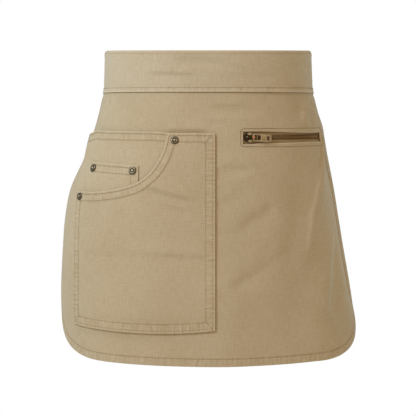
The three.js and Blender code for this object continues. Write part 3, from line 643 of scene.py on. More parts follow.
frontOut = frontIn + pocket["cloth"]


def pinch(s, z):  # zero at the side rivet, rising to one away from it
    ps, pz, reach = pocket["pinch"]
    return 1 - np.exp(-((s - ps) ** 2 + (z - pz) ** 2) / reach**2)


def pocketLift(s, z):  # smooth steps up to the open mouth and out to its corner, held down at the rivet
    start, over, side, high = pocket["opened"]
    opened = ramp(z - start, over) * ramp(pocket["right"] - s, side) * high
    aside, across, start, over, high = pocket["corner"]
    corner = ramp(aside - s, across) * ramp(z - start, over) * high
    return (opened + corner) * pinch(s, z)


def pocketLow(s):  # two half parabolas that rise from the lowest point
    away = s - pocket["lowAt"]
    (leftRise, leftWay), (rightRise, rightWay) = pocket["lowRise"]
    rise = np.where(away < 0, leftRise * (away / leftWay) ** 2, rightRise * (away / rightWay) ** 2)
    return pocket["low"] + rise


def pocketTop(s):  # level, with a smooth step down to the left and another to the top of the front
    fall, start, over = pocket["topFall"]
    joinAt, joinOver = pocket["topJoin"]
    join = (pocket["frontTop"] - pocket["top"]) * ramp(s - joinAt, joinOver)
    return pocket["top"] - fall * ramp(start - s, over) + join


def pocketBulge(s, z):  # flat-topped swell, one smooth step in from each edge
    leftIn, rightIn, lowIn, topIn = pocket["bulgeIn"]
    sides = ramp(s - pocket["left"], leftIn) * ramp(pocket["right"] - s, rightIn)
    ends = ramp(z - pocketLow(s), lowIn) * ramp(pocket["top"] - z, topIn)
    return pocket["bulge"] * sides * ends * pinch(s, z)


def pressed(s, z):  # smooth step down to the right and lower edges
    deep, start, over = pocket["press"]
    away = np.minimum(pocket["right"] - s, z - pocketLow(s))
    return deep * (1 - ramp(away - start, over))


def seamRelief(gap, width, high):  # a turned-in edge makes the cloth double out to the far stitch row
    return high * (1 - ramp(gap - width + 0.6, 2.2))


def roundedLoop(points, radius, steps=5):  # polygon whose corners are replaced by short curves
    p = np.array(points, float)
    before, after = unit(np.roll(p, 1, 0) - p), unit(np.roll(p, -1, 0) - p)
    r = np.minimum(radius, 0.45 * np.minimum(
        np.linalg.norm(np.roll(p, 1, 0) - p, axis=1), np.linalg.norm(np.roll(p, -1, 0) - p, axis=1)))[:, None]
    t = np.linspace(0, 1, steps)[None, :, None]
    a, b = (p + before * r)[:, None], (p + after * r)[:, None]
    return ((1 - t) ** 2 * a + 2 * t * (1 - t) * p[:, None] + t**2 * b).reshape(-1, 2)


# Skirt panel
skirt = {
    "hemLevel": -337.0, "hemRise": 3.5, "riseAt": 130.0, "cornerWide": 110.0, "cornerTall": 80.0,
    "sideShort": 1.0, "hemWidth": 9.0, "hemHigh": 0.25, "hemTurn": 0.9, "hemFrom": -28.0, "cloth": 1.0,
    "inset": 1.0, "top": -16.0, "sewnFrom": -27.0,  # the hem's stitches start below the waistband
    "zipFrame": [(37.4, -65.4), (159.6, -65.4), (159.6, -86.0), (37.4, -86.0)], "frameRound": 5.0,
    "frameSunk": 80.0,  # the stitches round the zip sink in, with painted groove shade, up to here
}
window = {
    "left": 40.3, "right": 155.5, "top": -68.7, "bottom": -81.9, "inset": 0.6, "lip": (3.2, 0.35),
    # the upper lip comes down, the lower gives way under the slider and closes in: by, from s, over
    "topFall": (1.9, 58.0, 75.0), "lowGive": (1.1, 48.0, 16.0), "lowRise": (0.9, 70.0, 70.0),
}


def skirtSide(z, side, inset=0.0):  # the widest point of the form, less a little
    return sideOf(z, side) - side * (skirt["sideShort"] + inset)


hemLeft = skirtSide(skirt["hemLevel"], -1)
hemRight = skirtSide(skirt["hemLevel"], 1)


def hemAt(s):  # gentle rise to both sides, then a quarter ellipse at each corner
    rise = skirt["hemRise"] * np.minimum(1, (np.abs(s) / skirt["riseAt"]) ** 2)
    into = np.clip(np.minimum(s - hemLeft, hemRight - s), 0, skirt["cornerWide"])
    bend = 1 - np.sqrt(1 - ((skirt["cornerWide"] - into) / skirt["cornerWide"]) ** 2)
    return skirt["hemLevel"] + rise + skirt["cornerTall"] * bend


def hemBelow(s, z, inset):  # the hem's height where a point's share of the width meets it
    u = (s - skirtSide(z, -1, inset)) / (skirtSide(z, 1, inset) - skirtSide(z, -1, inset))
    return hemAt(hemLeft + np.clip(u, 0, 1) * (hemRight - hemLeft)) + inset


def skirtOutline(inset):  # down the left side, along the hem and up the right side
    u = np.linspace(0, 1, 260)
    u = 0.5 - 0.5 * np.cos(math.pi * u)
    z = hemAt(hemLeft + u * (hemRight - hemLeft)) + inset
    s = skirtSide(z, -1, inset) * (1 - u) + skirtSide(z, 1, inset) * u
    upZ = np.linspace(skirt["top"], z[0], 70)[:-1]
    downZ = np.linspace(z[-1], skirt["top"], 70)[1:]
    leftSide = np.stack([skirtSide(upZ, -1, inset), upZ], 1)
    rightSide = np.stack([skirtSide(downZ, 1, inset), downZ], 1)
    return np.concatenate([leftSide, np.stack([s, z], 1), rightSide])


def insetLine(line, inset):  # polyline moved sideways, to the left of its run
    way = unit(np.gradient(line, axis=0))
    return line + inset * np.stack([-way[:, 1], way[:, 0]], 1)


skirtEdge = skirtOutline(0.0)


def skirtHem(s, z, start, over):  # one over the hem's turning, zero inside it and under the waistband
    gap, _ = edgeField(s, z, skirtEdge)
    return (1 - ramp(gap - skirt["hemWidth"] - start, over)) * ramp(skirt["hemFrom"] - z, 6)


def skirtOuter(s, z):  # one cloth thick, and a little higher over the hem
    return skirt["cloth"] + skirt["hemHigh"] * skirtHem(s, z, -0.8, 2.4)


def skirtInner(s, z):  # the form itself, with the hem's turning behind it
    return -skirt["hemTurn"] * skirtHem(s, z, 0.6, 2.6)


def windowTop(s):  # the upper lip comes down over the tape towards the right end
    fall, start, over = window["topFall"]
    return window["top"] - fall * ramp(s - start, over)


def windowBottom(s):  # the lower lip gives way under the slider and closes in to the right
    give, giveAt, giveOver = window["lowGive"]
    rise, riseAt, riseOver = window["lowRise"]
    return window["bottom"] - give * (1 - ramp(s - giveAt, giveOver)) + rise * ramp(s - riseAt, riseOver)


def windowGap(s, z):  # distance outside the window
    aside = np.maximum(0, np.maximum(window["left"] - s, s - window["right"]))
    above = np.maximum(0, np.maximum(z - windowTop(s), windowBottom(s) - z))
    return np.hypot(aside, above)


winLeft, winRight = window["left"] - window["inset"], window["right"] + window["inset"]
sideSteps = np.array([0, 0.9, 2.0, 3.6, 5.6])
leftCount, midCount, rightCount = 112, 72, 34


def skirtColumns(z):
    # s of every column at a height: fixed steps in from the sides, pinned lines at the window
    low, high = skirtSide(z, -1, skirt["inset"]), skirtSide(z, 1, skirt["inset"])
    f = np.linspace(0, 1, leftCount + 1)
    start = low + sideSteps[-1]
    leftPart = start[..., None] + f * (winLeft - start)[..., None]
    midPart = np.broadcast_to(np.linspace(winLeft, winRight, midCount + 1)[1:-1], z.shape + (midCount - 1,))
    f = np.linspace(0, 1, rightCount + 1)
    end = high - sideSteps[-1]
    rightPart = winRight + f * (end - winRight)[..., None]
    near = low[..., None] + sideSteps[:-1]
    far = high[..., None] - sideSteps[:-1][::-1]
    return np.concatenate([near, leftPart, midPart, rightPart, far], -1)


columnCount = skirtColumns(np.zeros(1)).shape[-1]
columnAt = np.arange(columnCount)
lowEnd, hemEnd = np.full(columnCount, tableZ[0]), np.full(columnCount, -150.0)
for _ in range(40):  # halving: where each column meets the hem
    half = (lowEnd + hemEnd) / 2
    s = skirtColumns(half)[columnAt, columnAt]
    inside = half > hemBelow(s, half, skirt["inset"])
    hemEnd = np.where(inside, half, hemEnd)
    lowEnd = np.where(inside, lowEnd, half)
columnS = skirtColumns(np.full(1, -75.0))[0]
winTop, winBottom = windowTop(columnS) + window["inset"], windowBottom(columnS) - window["inset"]
topRows = skirt["top"] + np.linspace(0, 1, 34)[:, None] * (winTop - skirt["top"])
windowRows = winTop + np.linspace(0, 1, 7)[1:, None] * (winBottom - winTop)
drop = winBottom - hemEnd
nearHem = np.array(edgeSteps[:8])[::-1]
run = np.linspace(0, 1, 116)[1:, None] * (drop - nearHem[0])
lowerRows = winBottom - np.concatenate([run, drop - nearHem[1:, None]])
skirtZ = np.concatenate([topRows, windowRows, lowerRows])
skirtS = skirtColumns(skirtZ)[:, columnAt, columnAt]
keep = np.ones((skirtZ.shape[0] - 1, columnCount - 1), bool)
firstCut = len(sideSteps) - 1 + leftCount
keep[len(topRows) - 1:len(topRows) + len(windowRows) - 1, firstCut:firstCut + midCount] = False
hemGap, hemRun = edgeField(skirtS, skirtZ, skirtEdge)
lipGap = windowGap(skirtS, skirtZ)
zipFrame = roundedLoop(skirt["zipFrame"], skirt["frameRound"])
zipFrame = np.concatenate([zipFrame, zipFrame[:1]])
frameGap, _ = edgeField(skirtS, skirtZ, zipFrame)
skirtPiece = sewnCloth(
    "skirt_cloth", "skirt_panel", skirtS, skirtZ,
    skirtOuter(skirtS, skirtZ) + seamRelief(lipGap, *window["lip"]),
    skirtInner(skirtS, skirtZ),
    twill,
    seamFields(
        np.minimum(hemGap, lipGap), frameGap + farOff * (skirtS > skirt["frameSunk"]),
        hemGap - skirt["hemWidth"], hemRun,
    ),
    keep,
)
hemLine = insetLine(skirtEdge, skirt["hemWidth"])
hemLine = hemLine[hemLine[:, 1] < skirt["sewnFrom"]]
skirtThreads = threadPiece(
    "skirt_stitches", [stitchRun(hemLine, skirtOuter), stitchRun(hemLine, skirtInner, -1)], thread)


def lipHigh(s, z):  # the skirt's outer face, with the turned-in cloth round the window
    return skirtOuter(s, z) + seamRelief(windowGap(s, z), *window["lip"])


def formFace(s, z):  # the cloth's own back
    return np.zeros_like(s)


frameThreads = threadPiece(
    "zip_frame_stitches", [stitchRun(zipFrame, lipHigh), stitchRun(zipFrame, formFace, -1)], shadedZipThread)
print("skirt panel made")


# Backing of the patch pocket: straight sides, open along its top edge.
def rowsDown(tall):  # distances from the upper edge down every column, close together at both ends
    near = np.array(edgeSteps)[:, None]
    between = np.linspace(0, 1, 180)[1:-1, None]
    middle = near[-1] + between * (tall - 2 * near[-1])
    return np.concatenate([near + 0 * tall, middle, (tall - near)[::-1]])


backStep = marks(pocket["right"] - pocket["left"] - 2 * pocket["inset"], edgeSteps, 3.0)
backS = pocket["left"] + pocket["inset"] + backStep[None, :]
backTop, backLow = pocketTop(backS) - pocket["inset"], pocketLow(backS) + pocket["inset"]
backZ = backTop - rowsDown(backTop - backLow)
backS = np.broadcast_to(backS, backZ.shape)
sideRun = np.linspace(pocket["left"], pocket["right"], 120)
lowLine = np.stack([sideRun, pocketLow(sideRun)], 1)[::-1]
backEdge = np.concatenate([
    np.stack([sideRun, pocketTop(sideRun)], 1),
    lowLine,
    [[pocket["left"], pocketTop(np.array(pocket["left"]))]],
])


def backOuter(s, z):  # lifted with the mouth, double along its upper edges, ironed flat with the front
    gap, _ = edgeField(s, z, backEdge)
    start, over = pocket["backSeamFrom"]
    seam = seamRelief(gap, *pocket["backSeam"]) * ramp(z - start, over)
    return backOut + pocketLift(s, z) + seam - pocket["backPress"][0] * pressed(s, z)


gap, run = edgeField(backS, backZ, backEdge)
fromTop = pocketTop(backS) - backZ
backPiece = sewnCloth(
    "pocket_back_cloth", "pocket_back", backS, backZ,
    backOuter(backS, backZ),
    backIn + pocketLift(backS, backZ) - pocket["backPress"][1] * pressed(backS, backZ),
    twill,
    seamFields(gap, fromTop - pocket["mouthRows"][0], fromTop - pocket["mouthRows"][1], run),
)
mouth = np.linspace(*pocket["mouthFrom"], 60)
stitches = []
for row in pocket["mouthRows"]:
    stitches.append(stitchRun(np.stack([mouth, pocketTop(mouth) - row], 1), backOuter))
backThreads = threadPiece("pocket_back_stitches", stitches, thread)

# Coin pocket on the backing; its lower end goes down behind the front.
coin = {
    "left": -147.6, "right": -79.6, "top": -106.2, "bottom": -152.0, "inset": 0.6, "spacing": 2.0,
    "rows": (3.8, 11.3), "sideRow": 9.1, "hem": 16.0, "hemHigh": 0.3, "slack": 0.5,
    "fall": 0.041, "level": -128.0,  # slope of the upper edge, and where it is at its named height
}
inset = coin["inset"]
coinS = coin["left"] + inset + marks(coin["right"] - coin["left"] - 2 * inset, edgeSteps[:7], coin["spacing"])
coinZ = coin["top"] - inset - marks(coin["top"] - coin["bottom"] - 2 * inset, edgeSteps[:7], coin["spacing"])
coinS, coinZ = np.meshgrid(coinS, coinZ)


def coinTop(s):  # straight, falling to the right
    return coin["top"] - coin["fall"] * (s - coin["level"])


coinZ = coinZ + coinTop(coinS) - coin["top"]
below = coin["bottom"] - 30  # the lower end is hidden and has no seam
coinEdge = np.array([
    (coin["left"], below), (coin["left"], coinTop(coin["left"])),
    (coin["right"], coinTop(coin["right"])), (coin["right"], below),
])


def coinOuter(s, z):  # on the backing, double along its hem and a little slack inside its seams
    gap, _ = edgeField(s, z, coinEdge)
    slack = coin["slack"] * ramp(gap - 6, 10) * ramp(coin["top"] - z, 14)
    hem = coin["hemHigh"] * (1 - ramp(coinTop(s) - z - coin["hem"], 1.6))
    return frontOut + pocketLift(s, z) + hem + slack * ramp(z + 150, 12)


gap, run = edgeField(coinS, coinZ, coinEdge)
fromTop = coinTop(coinS) - coinZ
coinPiece = sewnCloth(
    "coin_pocket_cloth", "coin_pocket", coinS, coinZ,
    coinOuter(coinS, coinZ),
    frontIn + pocketLift(coinS, coinZ),
    twill,
    seamFields(gap, fromTop - coin["rows"][0], fromTop - coin["rows"][1], run),
)
stitches = []
sewn = np.array([coin["left"] + 3, coin["right"] - 3])
for row in coin["rows"]:
    stitches.append(stitchRun(np.stack([sewn, coinTop(sewn) - row], 1), coinOuter))
aside = coin["right"] - coin["sideRow"]
stitches.append(stitchRun([(aside, coin["top"] - 14), (aside, coin["bottom"] + 6)], coinOuter))
coinThreads = threadPiece("coin_pocket_stitches", stitches, thread)
print("pocket backing and coin pocket made")

# Front of the patch pocket: columns run from the scoop and the top edge down to the lower edge.
scoop = smoothLine(pocket["scoop"], 160)
mouthLine = np.concatenate([scoop, [(pocket["right"], pocket["frontTop"])]])
mouthRun = np.concatenate([[0.0], np.cumsum(np.hypot(*np.diff(mouthLine, axis=0).T))])
frontEdge = np.concatenate([mouthLine, lowLine, [mouthLine[0]]])
frontSpacing = 1.7
frontStep = marks(mouthRun[-1], edgeSteps, frontSpacing)
topS = np.interp(frontStep, mouthRun, mouthLine[:, 0])
topZ = np.interp(frontStep, mouthRun, mouthLine[:, 1])
way = unit(np.gradient(np.stack([topS, topZ], 1), axis=0))
inset = pocket["inset"]
topS = np.clip(topS + inset * way[:, 1], pocket["left"] + inset, pocket["right"] - inset)
topZ = topZ - inset * way[:, 0]
lowStep = marks(pocket["right"] - pocket["left"], edgeSteps, frontSpacing)
lowS = np.interp(np.linspace(0, 1, len(topS)), np.linspace(0, 1, len(lowStep)), lowStep) + pocket["left"]
lowS = np.clip(lowS, pocket["left"] + inset, pocket["right"] - inset)
lowZ = pocketLow(lowS) + inset
tall = np.hypot(topS - lowS, topZ - lowZ)[None, :]
down = rowsDown(tall) / tall
frontS = topS + down * (lowS - topS)
frontZ = topZ + down * (lowZ - topZ)


def frontBase(s, z):  # lifted with the mouth, swollen and wrinkled, but never down on the backing
    bulge = pocketBulge(s, z)
    tucks = np.maximum(-0.9 * bulge, ridges(s, z, pocket["tucks"], step))
    return pocketLift(s, z) + bulge + tucks - pressed(s, z)


def pucker(run):  # uneven wave along an edge: its length and its height both drift
    share, length = pocket["pucker"]
    wave = np.sin(run * 2 * math.pi / length + 1.5 * np.sin(run / 19.0))
    return share * wave * (0.6 + 0.4 * np.sin(run / 31.0))


def frontOuter(s, z):  # the base and one cloth, double and puckered along its seams
    gap, run = edgeField(s, z, frontEdge)
    return frontOut + frontBase(s, z) + seamRelief(gap, *pocket["seam"]) * (1 + pucker(run))


gap, run = edgeField(frontS, frontZ, frontEdge)
mouthGap, _ = edgeField(frontS, frontZ, mouthLine)
bodyGap, _ = edgeField(frontS, frontZ, frontEdge[len(mouthLine) - 1:])
nearMouth = mouthGap < bodyGap
frontPiece = sewnCloth(
    "pocket_front_cloth", "pocket_front", frontS, frontZ,
    frontOuter(frontS, frontZ),
    frontIn + frontBase(frontS, frontZ),
    twill,
    seamFields(
        gap,
        np.where(nearMouth, mouthGap - pocket["mouthRows"][0], farOff),
        np.where(nearMouth, mouthGap - pocket["mouthRows"][1], bodyGap - pocket["rows"][1]),
        run,
    ),
)
stitches = []
for row, mouthRow in zip(pocket["rows"], pocket["mouthRows"]):
    rightAt, leftAt = pocket["right"] - row, pocket["left"] + row
    topAt = pocket["frontTop"] - mouthRow
    lowRun = np.linspace(rightAt, leftAt, 90)
    body = np.concatenate([
        [(rightAt, topAt)],
        np.stack([lowRun, pocketLow(lowRun) + row], 1),
        [(leftAt, pocket["sideTop"] - mouthRow)],
    ])
    inside = insetLine(mouthLine[:-1], -mouthRow)
    inside = inside[(inside[:, 0] > leftAt) & (inside[:, 1] < topAt)]
    across = [(inside[-1, 0], topAt), (rightAt, topAt)]
    for line in (body, inside, across):
        stitches.append(stitchRun(line, frontOuter))
    stitches.append(stitchRun(body, formFace, -1))
frontThreads = threadPiece("pocket_front_stitches", stitches, thread)
print("pocket front made")

# Waistband: one strip folded over at the top, carried round the form; the skirt and ties go in between.
band = {
    "past": 7.0, "lift": 0.7, "lowLift": 2.2, "dropTop": 4.5, "dropLow": 0.5, "outerAt": 1.85,
    "innerAt": -0.65, "half": 0.5, "top": 24.9, "bottom": -24.9, "rows": {"low": -19.8, "high": 21.3},
    "endRow": 4.0, "spacing": 2.2, "turnBack": 22.0,
    # heights where the edges lift and drop: from, over
    "upper": (8.0, 17.0), "lower": (14.0, 8.0), "lowest": (16.0, 9.0),
    # doubled cloth: at the ends, more towards the middle, along the fold
    "seam": (0.15, 0.65, 0.05),
    # wrinkles of the outer side, as the tucks of the form
    "tucks": [
        (-60, -1.3, -27, -2.5, 1.2, 2.1, 9),
        (-34, 16.5, 14, 14.5, 0.9, 3.0, 10),
        (14, 9.5, 47, 3.5, 0.8, 2.8, 9),
        (12, 6.5, -24, 6.5, 0.6, 3.0, 10),
        (30, -2.5, 66, -3.0, 0.6, 2.6, 12),
        (110, 10.0, 138, 5.0, 0.6, 3.0, 14),
    ],
}
waistQuarter = float(sideOf(0.0, 1))
bandEnd = waistQuarter + band["past"]


def bandPlace(s, z, h):  # the upper edge rises a little to the sides and dips where the band turns back
    s, z, h = np.broadcast_arrays(s, z, h)
    (upFrom, upOver), (lowFrom, lowOver), (endFrom, endOver) = band["upper"], band["lower"], band["lowest"]
    upper = ramp(z - upFrom, upOver)
    middle = np.maximum(0, 1 - np.abs(s / waistQuarter) ** 3)
    rise = band["lift"] * (s / waistQuarter) ** 2 * upper
    rise = rise + band["lowLift"] * middle * ramp(-lowFrom - z, lowOver)
    turned = np.clip((np.abs(s) - waistQuarter + band["turnBack"]) / band["turnBack"], 0, 1.1) ** 2
    drop = turned * (band["dropTop"] * upper + band["dropLow"] * ramp(-endFrom - z, endOver))
    return place(s, z + rise - drop, h)


foldRadius = (band["outerAt"] - band["innerAt"]) / 2
foldMiddle = (band["outerAt"] + band["innerAt"]) / 2
foldTop = band["top"] - band["half"] - foldRadius
wall = np.concatenate([
    [band["bottom"], -24.2, -23.2, -21.8], np.linspace(-20.2, 20.2, 34), [21.2, 22.2, foldTop - 0.3],
])
bow = np.linspace(0, math.pi, 9)
pathZ = np.concatenate([wall, foldTop + foldRadius * np.sin(bow), wall[::-1]])[:, None]
flat = np.ones(len(wall))
normalH = np.concatenate([-flat, -np.cos(bow), flat])[:, None]
normalZ = np.concatenate([0 * flat, np.sin(bow), 0 * flat])[:, None]
pathH = foldMiddle + foldRadius * normalH
outerSide = np.concatenate([0 * flat, 0 * bow, flat])[:, None]
bandFrom = band["half"] - bandEnd
bandRow = bandFrom + marks(-2 * bandFrom, edgeSteps[:7], band["spacing"])[None, :]
bandS, bandZ = bandRow + 0 * pathZ, pathZ + 0 * bandRow


def bandRelief(s, z):  # doubled cloth along both seams, lower towards the ends, and the wrinkles
    atEnds, more, atFold = band["seam"]
    inward = 1 - ramp(np.abs(s) - waistQuarter + 50, 36)
    low = (atEnds + more * inward) * (1 - ramp(z - band["rows"]["low"], 2.0))
    high = atFold * ramp(z - band["rows"]["high"], 1.6)
    return low + high + ridges(s, z, band["tucks"], step)


def bandOuter(s, z):  # face of the outer wall, with its relief
    return band["outerAt"] + band["half"] + bandRelief(s, z)


# above and below the ties the two layers come together at the ends
shut = ramp(np.abs(bandS) - bandEnd + 16, 14) * ramp(np.abs(bandZ) - 12.6, 2.5) * 0.72
centreH = pathH - shut * np.sign(normalH) * (np.abs(normalH) > 0.9)
relief = outerSide * bandRelief(bandS, bandZ)
pathRun = np.concatenate([[0.0], np.cumsum(np.hypot(np.diff(pathZ[:, 0]), np.diff(pathH[:, 0])))])[:, None]
endGap = bandEnd - np.abs(bandS)
edgeGap = np.minimum(bandZ - band["bottom"], band["top"] - bandZ)
bandPiece = clothPiece(
    "waistband_cloth",
    bandPlace(bandS, bandZ + band["half"] * normalZ, centreH + band["half"] * normalH + relief),
    bandPlace(bandS, bandZ - band["half"] * normalZ, centreH - band["half"] * normalH + relief * 0.6),
    np.stack([bandS, pathRun + 0 * bandS], -1),
    litBandTwill,
    seamFields(
        np.minimum(edgeGap, endGap),
        bandZ + farOff,
        np.minimum(bandZ - band["rows"]["low"], endGap - band["endRow"]),
        bandS,
    ),
)
cover(bandPiece, "waistband")
stitches = []
innerFace = lambda s, z: np.full_like(s, band["innerAt"] - band["half"])
sewEnd = bandEnd - band["endRow"]
sewLow, sewHigh = band["rows"]["low"], band["rows"]["high"]
sunkOuter = lambda s, z: bandOuter(s, z) - stitch["rise"]
for level, top in ((sewLow, bandOuter), (sewHigh, sunkOuter)):
    stitches.append(stitchRun([(-sewEnd, level), (sewEnd, level)], top, 1, bandPlace))
    stitches.append(stitchRun([(-sewEnd, level), (sewEnd, level)], innerFace, -1, bandPlace))
for side in (-1, 1):
    ends = [(side * sewEnd, -11), (side * sewEnd, 11)]
    stitches.append(stitchRun(ends, bandOuter, 1, bandPlace))
    stitches.append(stitchRun(ends, innerFace, -1, bandPlace))
bandThreads = threadPiece("waistband_stitches", stitches, thread)

# Ties: straps from inside the ends of the band to the centre back, and the wrap that joins them there.
tie = {"half": 12.0, "low": 0.15, "cloth": 1.0, "knotWide": 18.0, "rise": 1.3, "into": 15.0, "row": 2.4}
halfRound = float(girth[np.abs(tableZ).argmin(), -1])
tieStart, tieEnd = bandEnd - tie["into"], halfRound + tie["knotWide"] / 2 + 2
tieRuns = []
for name, side, rise in (("tie_left", -1, 0.0), ("tie_right", 1, tie["rise"])):
    tieS = marks(tieEnd - tieStart - 1, edgeSteps[:3], 2.6)[None, :] + tieStart + 0.5
    tieZ = (tie["half"] - 0.5 - marks(2 * tie["half"] - 1, edgeSteps[:3], 1.7))[:, None]
    tieS, tieZ = (v.copy() for v in np.broadcast_arrays(tieS, tieZ))
    lift = lambda s: rise * ramp(np.abs(s) - (halfRound - 45), 28)
    wave = lambda s, z: 0.12 * np.sin(s / 9.0) * ramp(np.abs(s) - bandEnd - 4, 10)
    top = lambda s, z: tie["low"] + tie["cloth"] + lift(s) + wave(s, z)
    under = lambda s, z: tie["low"] + lift(s) + wave(s, z)
    gap = np.minimum(tie["half"] - np.abs(tieZ), tieEnd - tieS)
    sewnCloth(
        name + "_cloth", name, side * tieS, tieZ, top(tieS, tieZ), under(tieS, tieZ), twill,
        seamFields(gap, gap - tie["row"], gap + farOff, tieS),
    )
    for level in (-tie["half"] + tie["row"], tie["half"] - tie["row"]):
        sewn = [(side * (bandEnd + 1), level), (side * (halfRound - tie["knotWide"] / 2 - 1), level)]
        tieRuns.append(stitchRun(sewn, top))
        tieRuns.append(stitchRun(sewn, under, -1))
threadPiece("tie_stitches", tieRuns, thread)

# Wrap at the back: a strip wound once round both straps, rounder on the outside and pulled in at the waist.
knot = {"wide": 18.0, "tall": 16.2, "out": 5.6, "in": 3.2, "cloth": 1.2, "middle": 1.3, "runRadius": 14}
knotTurn = np.linspace(0, 2 * math.pi, 72, endpoint=False)[:, None]
knotWay = np.linspace(-1, 1, 25)[None, :]
waist = 1 - 0.1 * np.cos(knotWay * math.pi / 2) ** 2
crease = 0.35 * np.sin(knotTurn * 2 + knotWay * 2.2) * np.cos(knotWay * math.pi / 2)
bowed = np.sign(np.sin(knotTurn)) * np.abs(np.sin(knotTurn)) ** 0.55
depth = np.where(np.cos(knotTurn) > 0, knot["out"], knot["in"])
outward = np.sign(np.cos(knotTurn)) * np.abs(np.cos(knotTurn)) ** 0.6
knotZ = -bowed * knot["tall"] * waist
knotH = knot["middle"] + outward * depth + crease * (np.cos(knotTurn) > 0) * np.cos(knotTurn)
insideZ = -bowed * (knot["tall"] * waist - knot["cloth"])
insideH = knot["middle"] + outward * (depth - knot["cloth"])
knotS = halfRound + knotWay * knot["wide"] / 2 + 0 * knotTurn
knotGap = (1 - np.abs(knotWay)) * knot["wide"] / 2 + 0 * knotTurn
knotRun = knotTurn * knot["runRadius"] + 0 * knotWay
knotPiece = clothPiece(
    "tie_wrap_cloth",
    place(knotS, knotZ, knotH),
    place(knotS, insideZ, insideH),
    np.stack([knotS, knotRun], -1),
    twill,
    seamFields(knotGap, knotGap + farOff, knotGap + farOff, knotRun),
    ringed=True,
)
cover(knotPiece, "tie_knot")
print("waistband and ties made")

# Zip: tapes behind the window, two rows of teeth that mesh, slider and pull.
zipper = {
    "left": 40.3, "right": 155.5, "chain": -74.9, "level": -1.2, "half": 3.4, "tape": 12.0, "pitch": 2.6,
    "toothWide": 1.28, "toothHigh": 1.0, "reach": 1.1, "start": 50.0, "end": 157.0, "clamped": 1.2,
    "tapeHalf": 0.4,
}
for name, side in (("zip_tape_upper", 1), ("zip_tape_lower", -1)):
    tapeS = zipper["left"] - 3.5 + marks(zipper["right"] - zipper["left"] + 7, edgeSteps[:3], 3.0)[None, :]
    across = marks(zipper["tape"] + zipper["clamped"] - 2 * zipper["tapeHalf"], [0, 0.5, 1.2], 1.5)[:, None]
    away = zipper["tapeHalf"] - zipper["clamped"] + across
    tapeZ = zipper["chain"] + side * (zipper["half"] + away)
    tapeZ = tapeZ if side < 0 else tapeZ[::-1]
    tapeS, tapeZ = (v.copy() for v in np.broadcast_arrays(tapeS, tapeZ))
    cord = 0.3 * np.exp(-(((np.abs(tapeZ - zipper["chain"]) - zipper["half"] - 0.7) / 0.7) ** 2))
    outer, inner = zipper["level"] + zipper["tapeHalf"] + cord, zipper["level"] - zipper["tapeHalf"]
    sewnCloth(name + "_cloth", name, tapeS, tapeZ, outer, inner, tapeWeave)

# One tooth: rings from its root at the tape to its tip, each a rounded rectangle that narrows to the tip.
toothRings = np.array([  # share of the way from root to tip, width, height
    (0.0, 0.75, 0.7), (0.06, 1.0, 1.0), (0.55, 1.0, 1.0),
    (0.72, 0.86, 0.9), (0.94, 0.84, 0.8), (1.0, 0.5, 0.45),
])
corner = np.array([
    (-1, -0.55), (-0.6, -1), (0.6, -1), (1, -0.55), (1, 0.55), (0.6, 1), (-0.6, 1), (-1, 0.55),
])
toothWay, toothWide, toothHigh = (column[None, :, None] for column in toothRings.T)
oneTooth = closedTube(len(toothRings), len(corner))
toothPoints = len(toothRings) * len(corner)
toothVerts, toothFaces, toothWear = [], [], []
begin = 0
for side in (1, -1):
    toothS = np.arange(zipper["start"] + (side < 0) * zipper["pitch"] / 2, zipper["end"], zipper["pitch"])
    s = toothS[:, None, None] + corner[:, 0] * toothWide * zipper["toothWide"] / 2
    h = zipper["level"] + corner[:, 1] * toothHigh * zipper["toothHigh"] + 0 * s
    z = zipper["chain"] + side * (zipper["half"] - toothWay * (zipper["half"] + zipper["reach"])) + 0 * s
    toothVerts.append(place(s, z, h).reshape(-1, 3))
    toothFaces.append((copies(oneTooth, len(toothS), toothPoints) + begin)[:, ::side])
    toothWear.append((corner[:, 1] > 0) * (0.3 + 0.7 * toothWay) + 0 * s)
    begin += len(toothS) * toothPoints
teethPiece = makeMesh(
    "zip_chain",
    np.concatenate(toothVerts),
    np.concatenate(toothFaces),
    toothBrass,
    fields={"wear": np.concatenate([w.ravel() for w in toothWear])},
)
cover(teethPiece, "zip_teeth")

# Slider and pull are cut plates: flat outlines with rounded edges, set on the slider's own axes.
sliderAt = {"s": 47.5, "z": -75.4}


def axesOn(s, z, heightAt):  # x along the cloth, y up it, z straight out of it
    s, z = np.array(s, float), np.array(z, float)
    spot = lambda ds, dz: place(s + ds, z + dz, heightAt(s + ds, z + dz))
    along = unit(spot(1.5, 0) - spot(-1.5, 0))
    out = unit(np.cross(along, spot(0, 1.5) - spot(0, -1.5)))
    up = np.cross(out, along)
    return np.stack([along, up, out], 1), spot(0, 0)


def cutPlate(outlines, thick, bevel):  # flat curve with holes, thickened and bevelled, as raw arrays
    curve = bpy.data.curves.new("cut", "CURVE")
    curve.dimensions = "2D"
    curve.fill_mode = "BOTH"
    curve.extrude = thick / 2 - bevel
    curve.bevel_depth = bevel
    curve.bevel_resolution = 2
    curve.offset = -bevel
    for outline in outlines:
        spline = curve.splines.new("POLY")
        spline.points.add(len(outline) - 1)
        flat = np.zeros((len(outline), 4), np.float32)
        flat[:, :2] = outline
        flat[:, 3] = 1
        spline.points.foreach_set("co", flat.ravel())
        spline.use_cyclic_u = True
    holder = bpy.data.objects.new("cut", curve)
    scene.collection.objects.link(holder)
    bpy.context.view_layer.update()
    mesh = bpy.data.meshes.new_from_object(holder.evaluated_get(bpy.context.evaluated_depsgraph_get()))
    bpy.data.objects.remove(holder)
    bpy.data.curves.remove(curve)
    return mesh


sliderAxes, sliderSpot = axesOn(sliderAt["s"], sliderAt["z"], formFace)


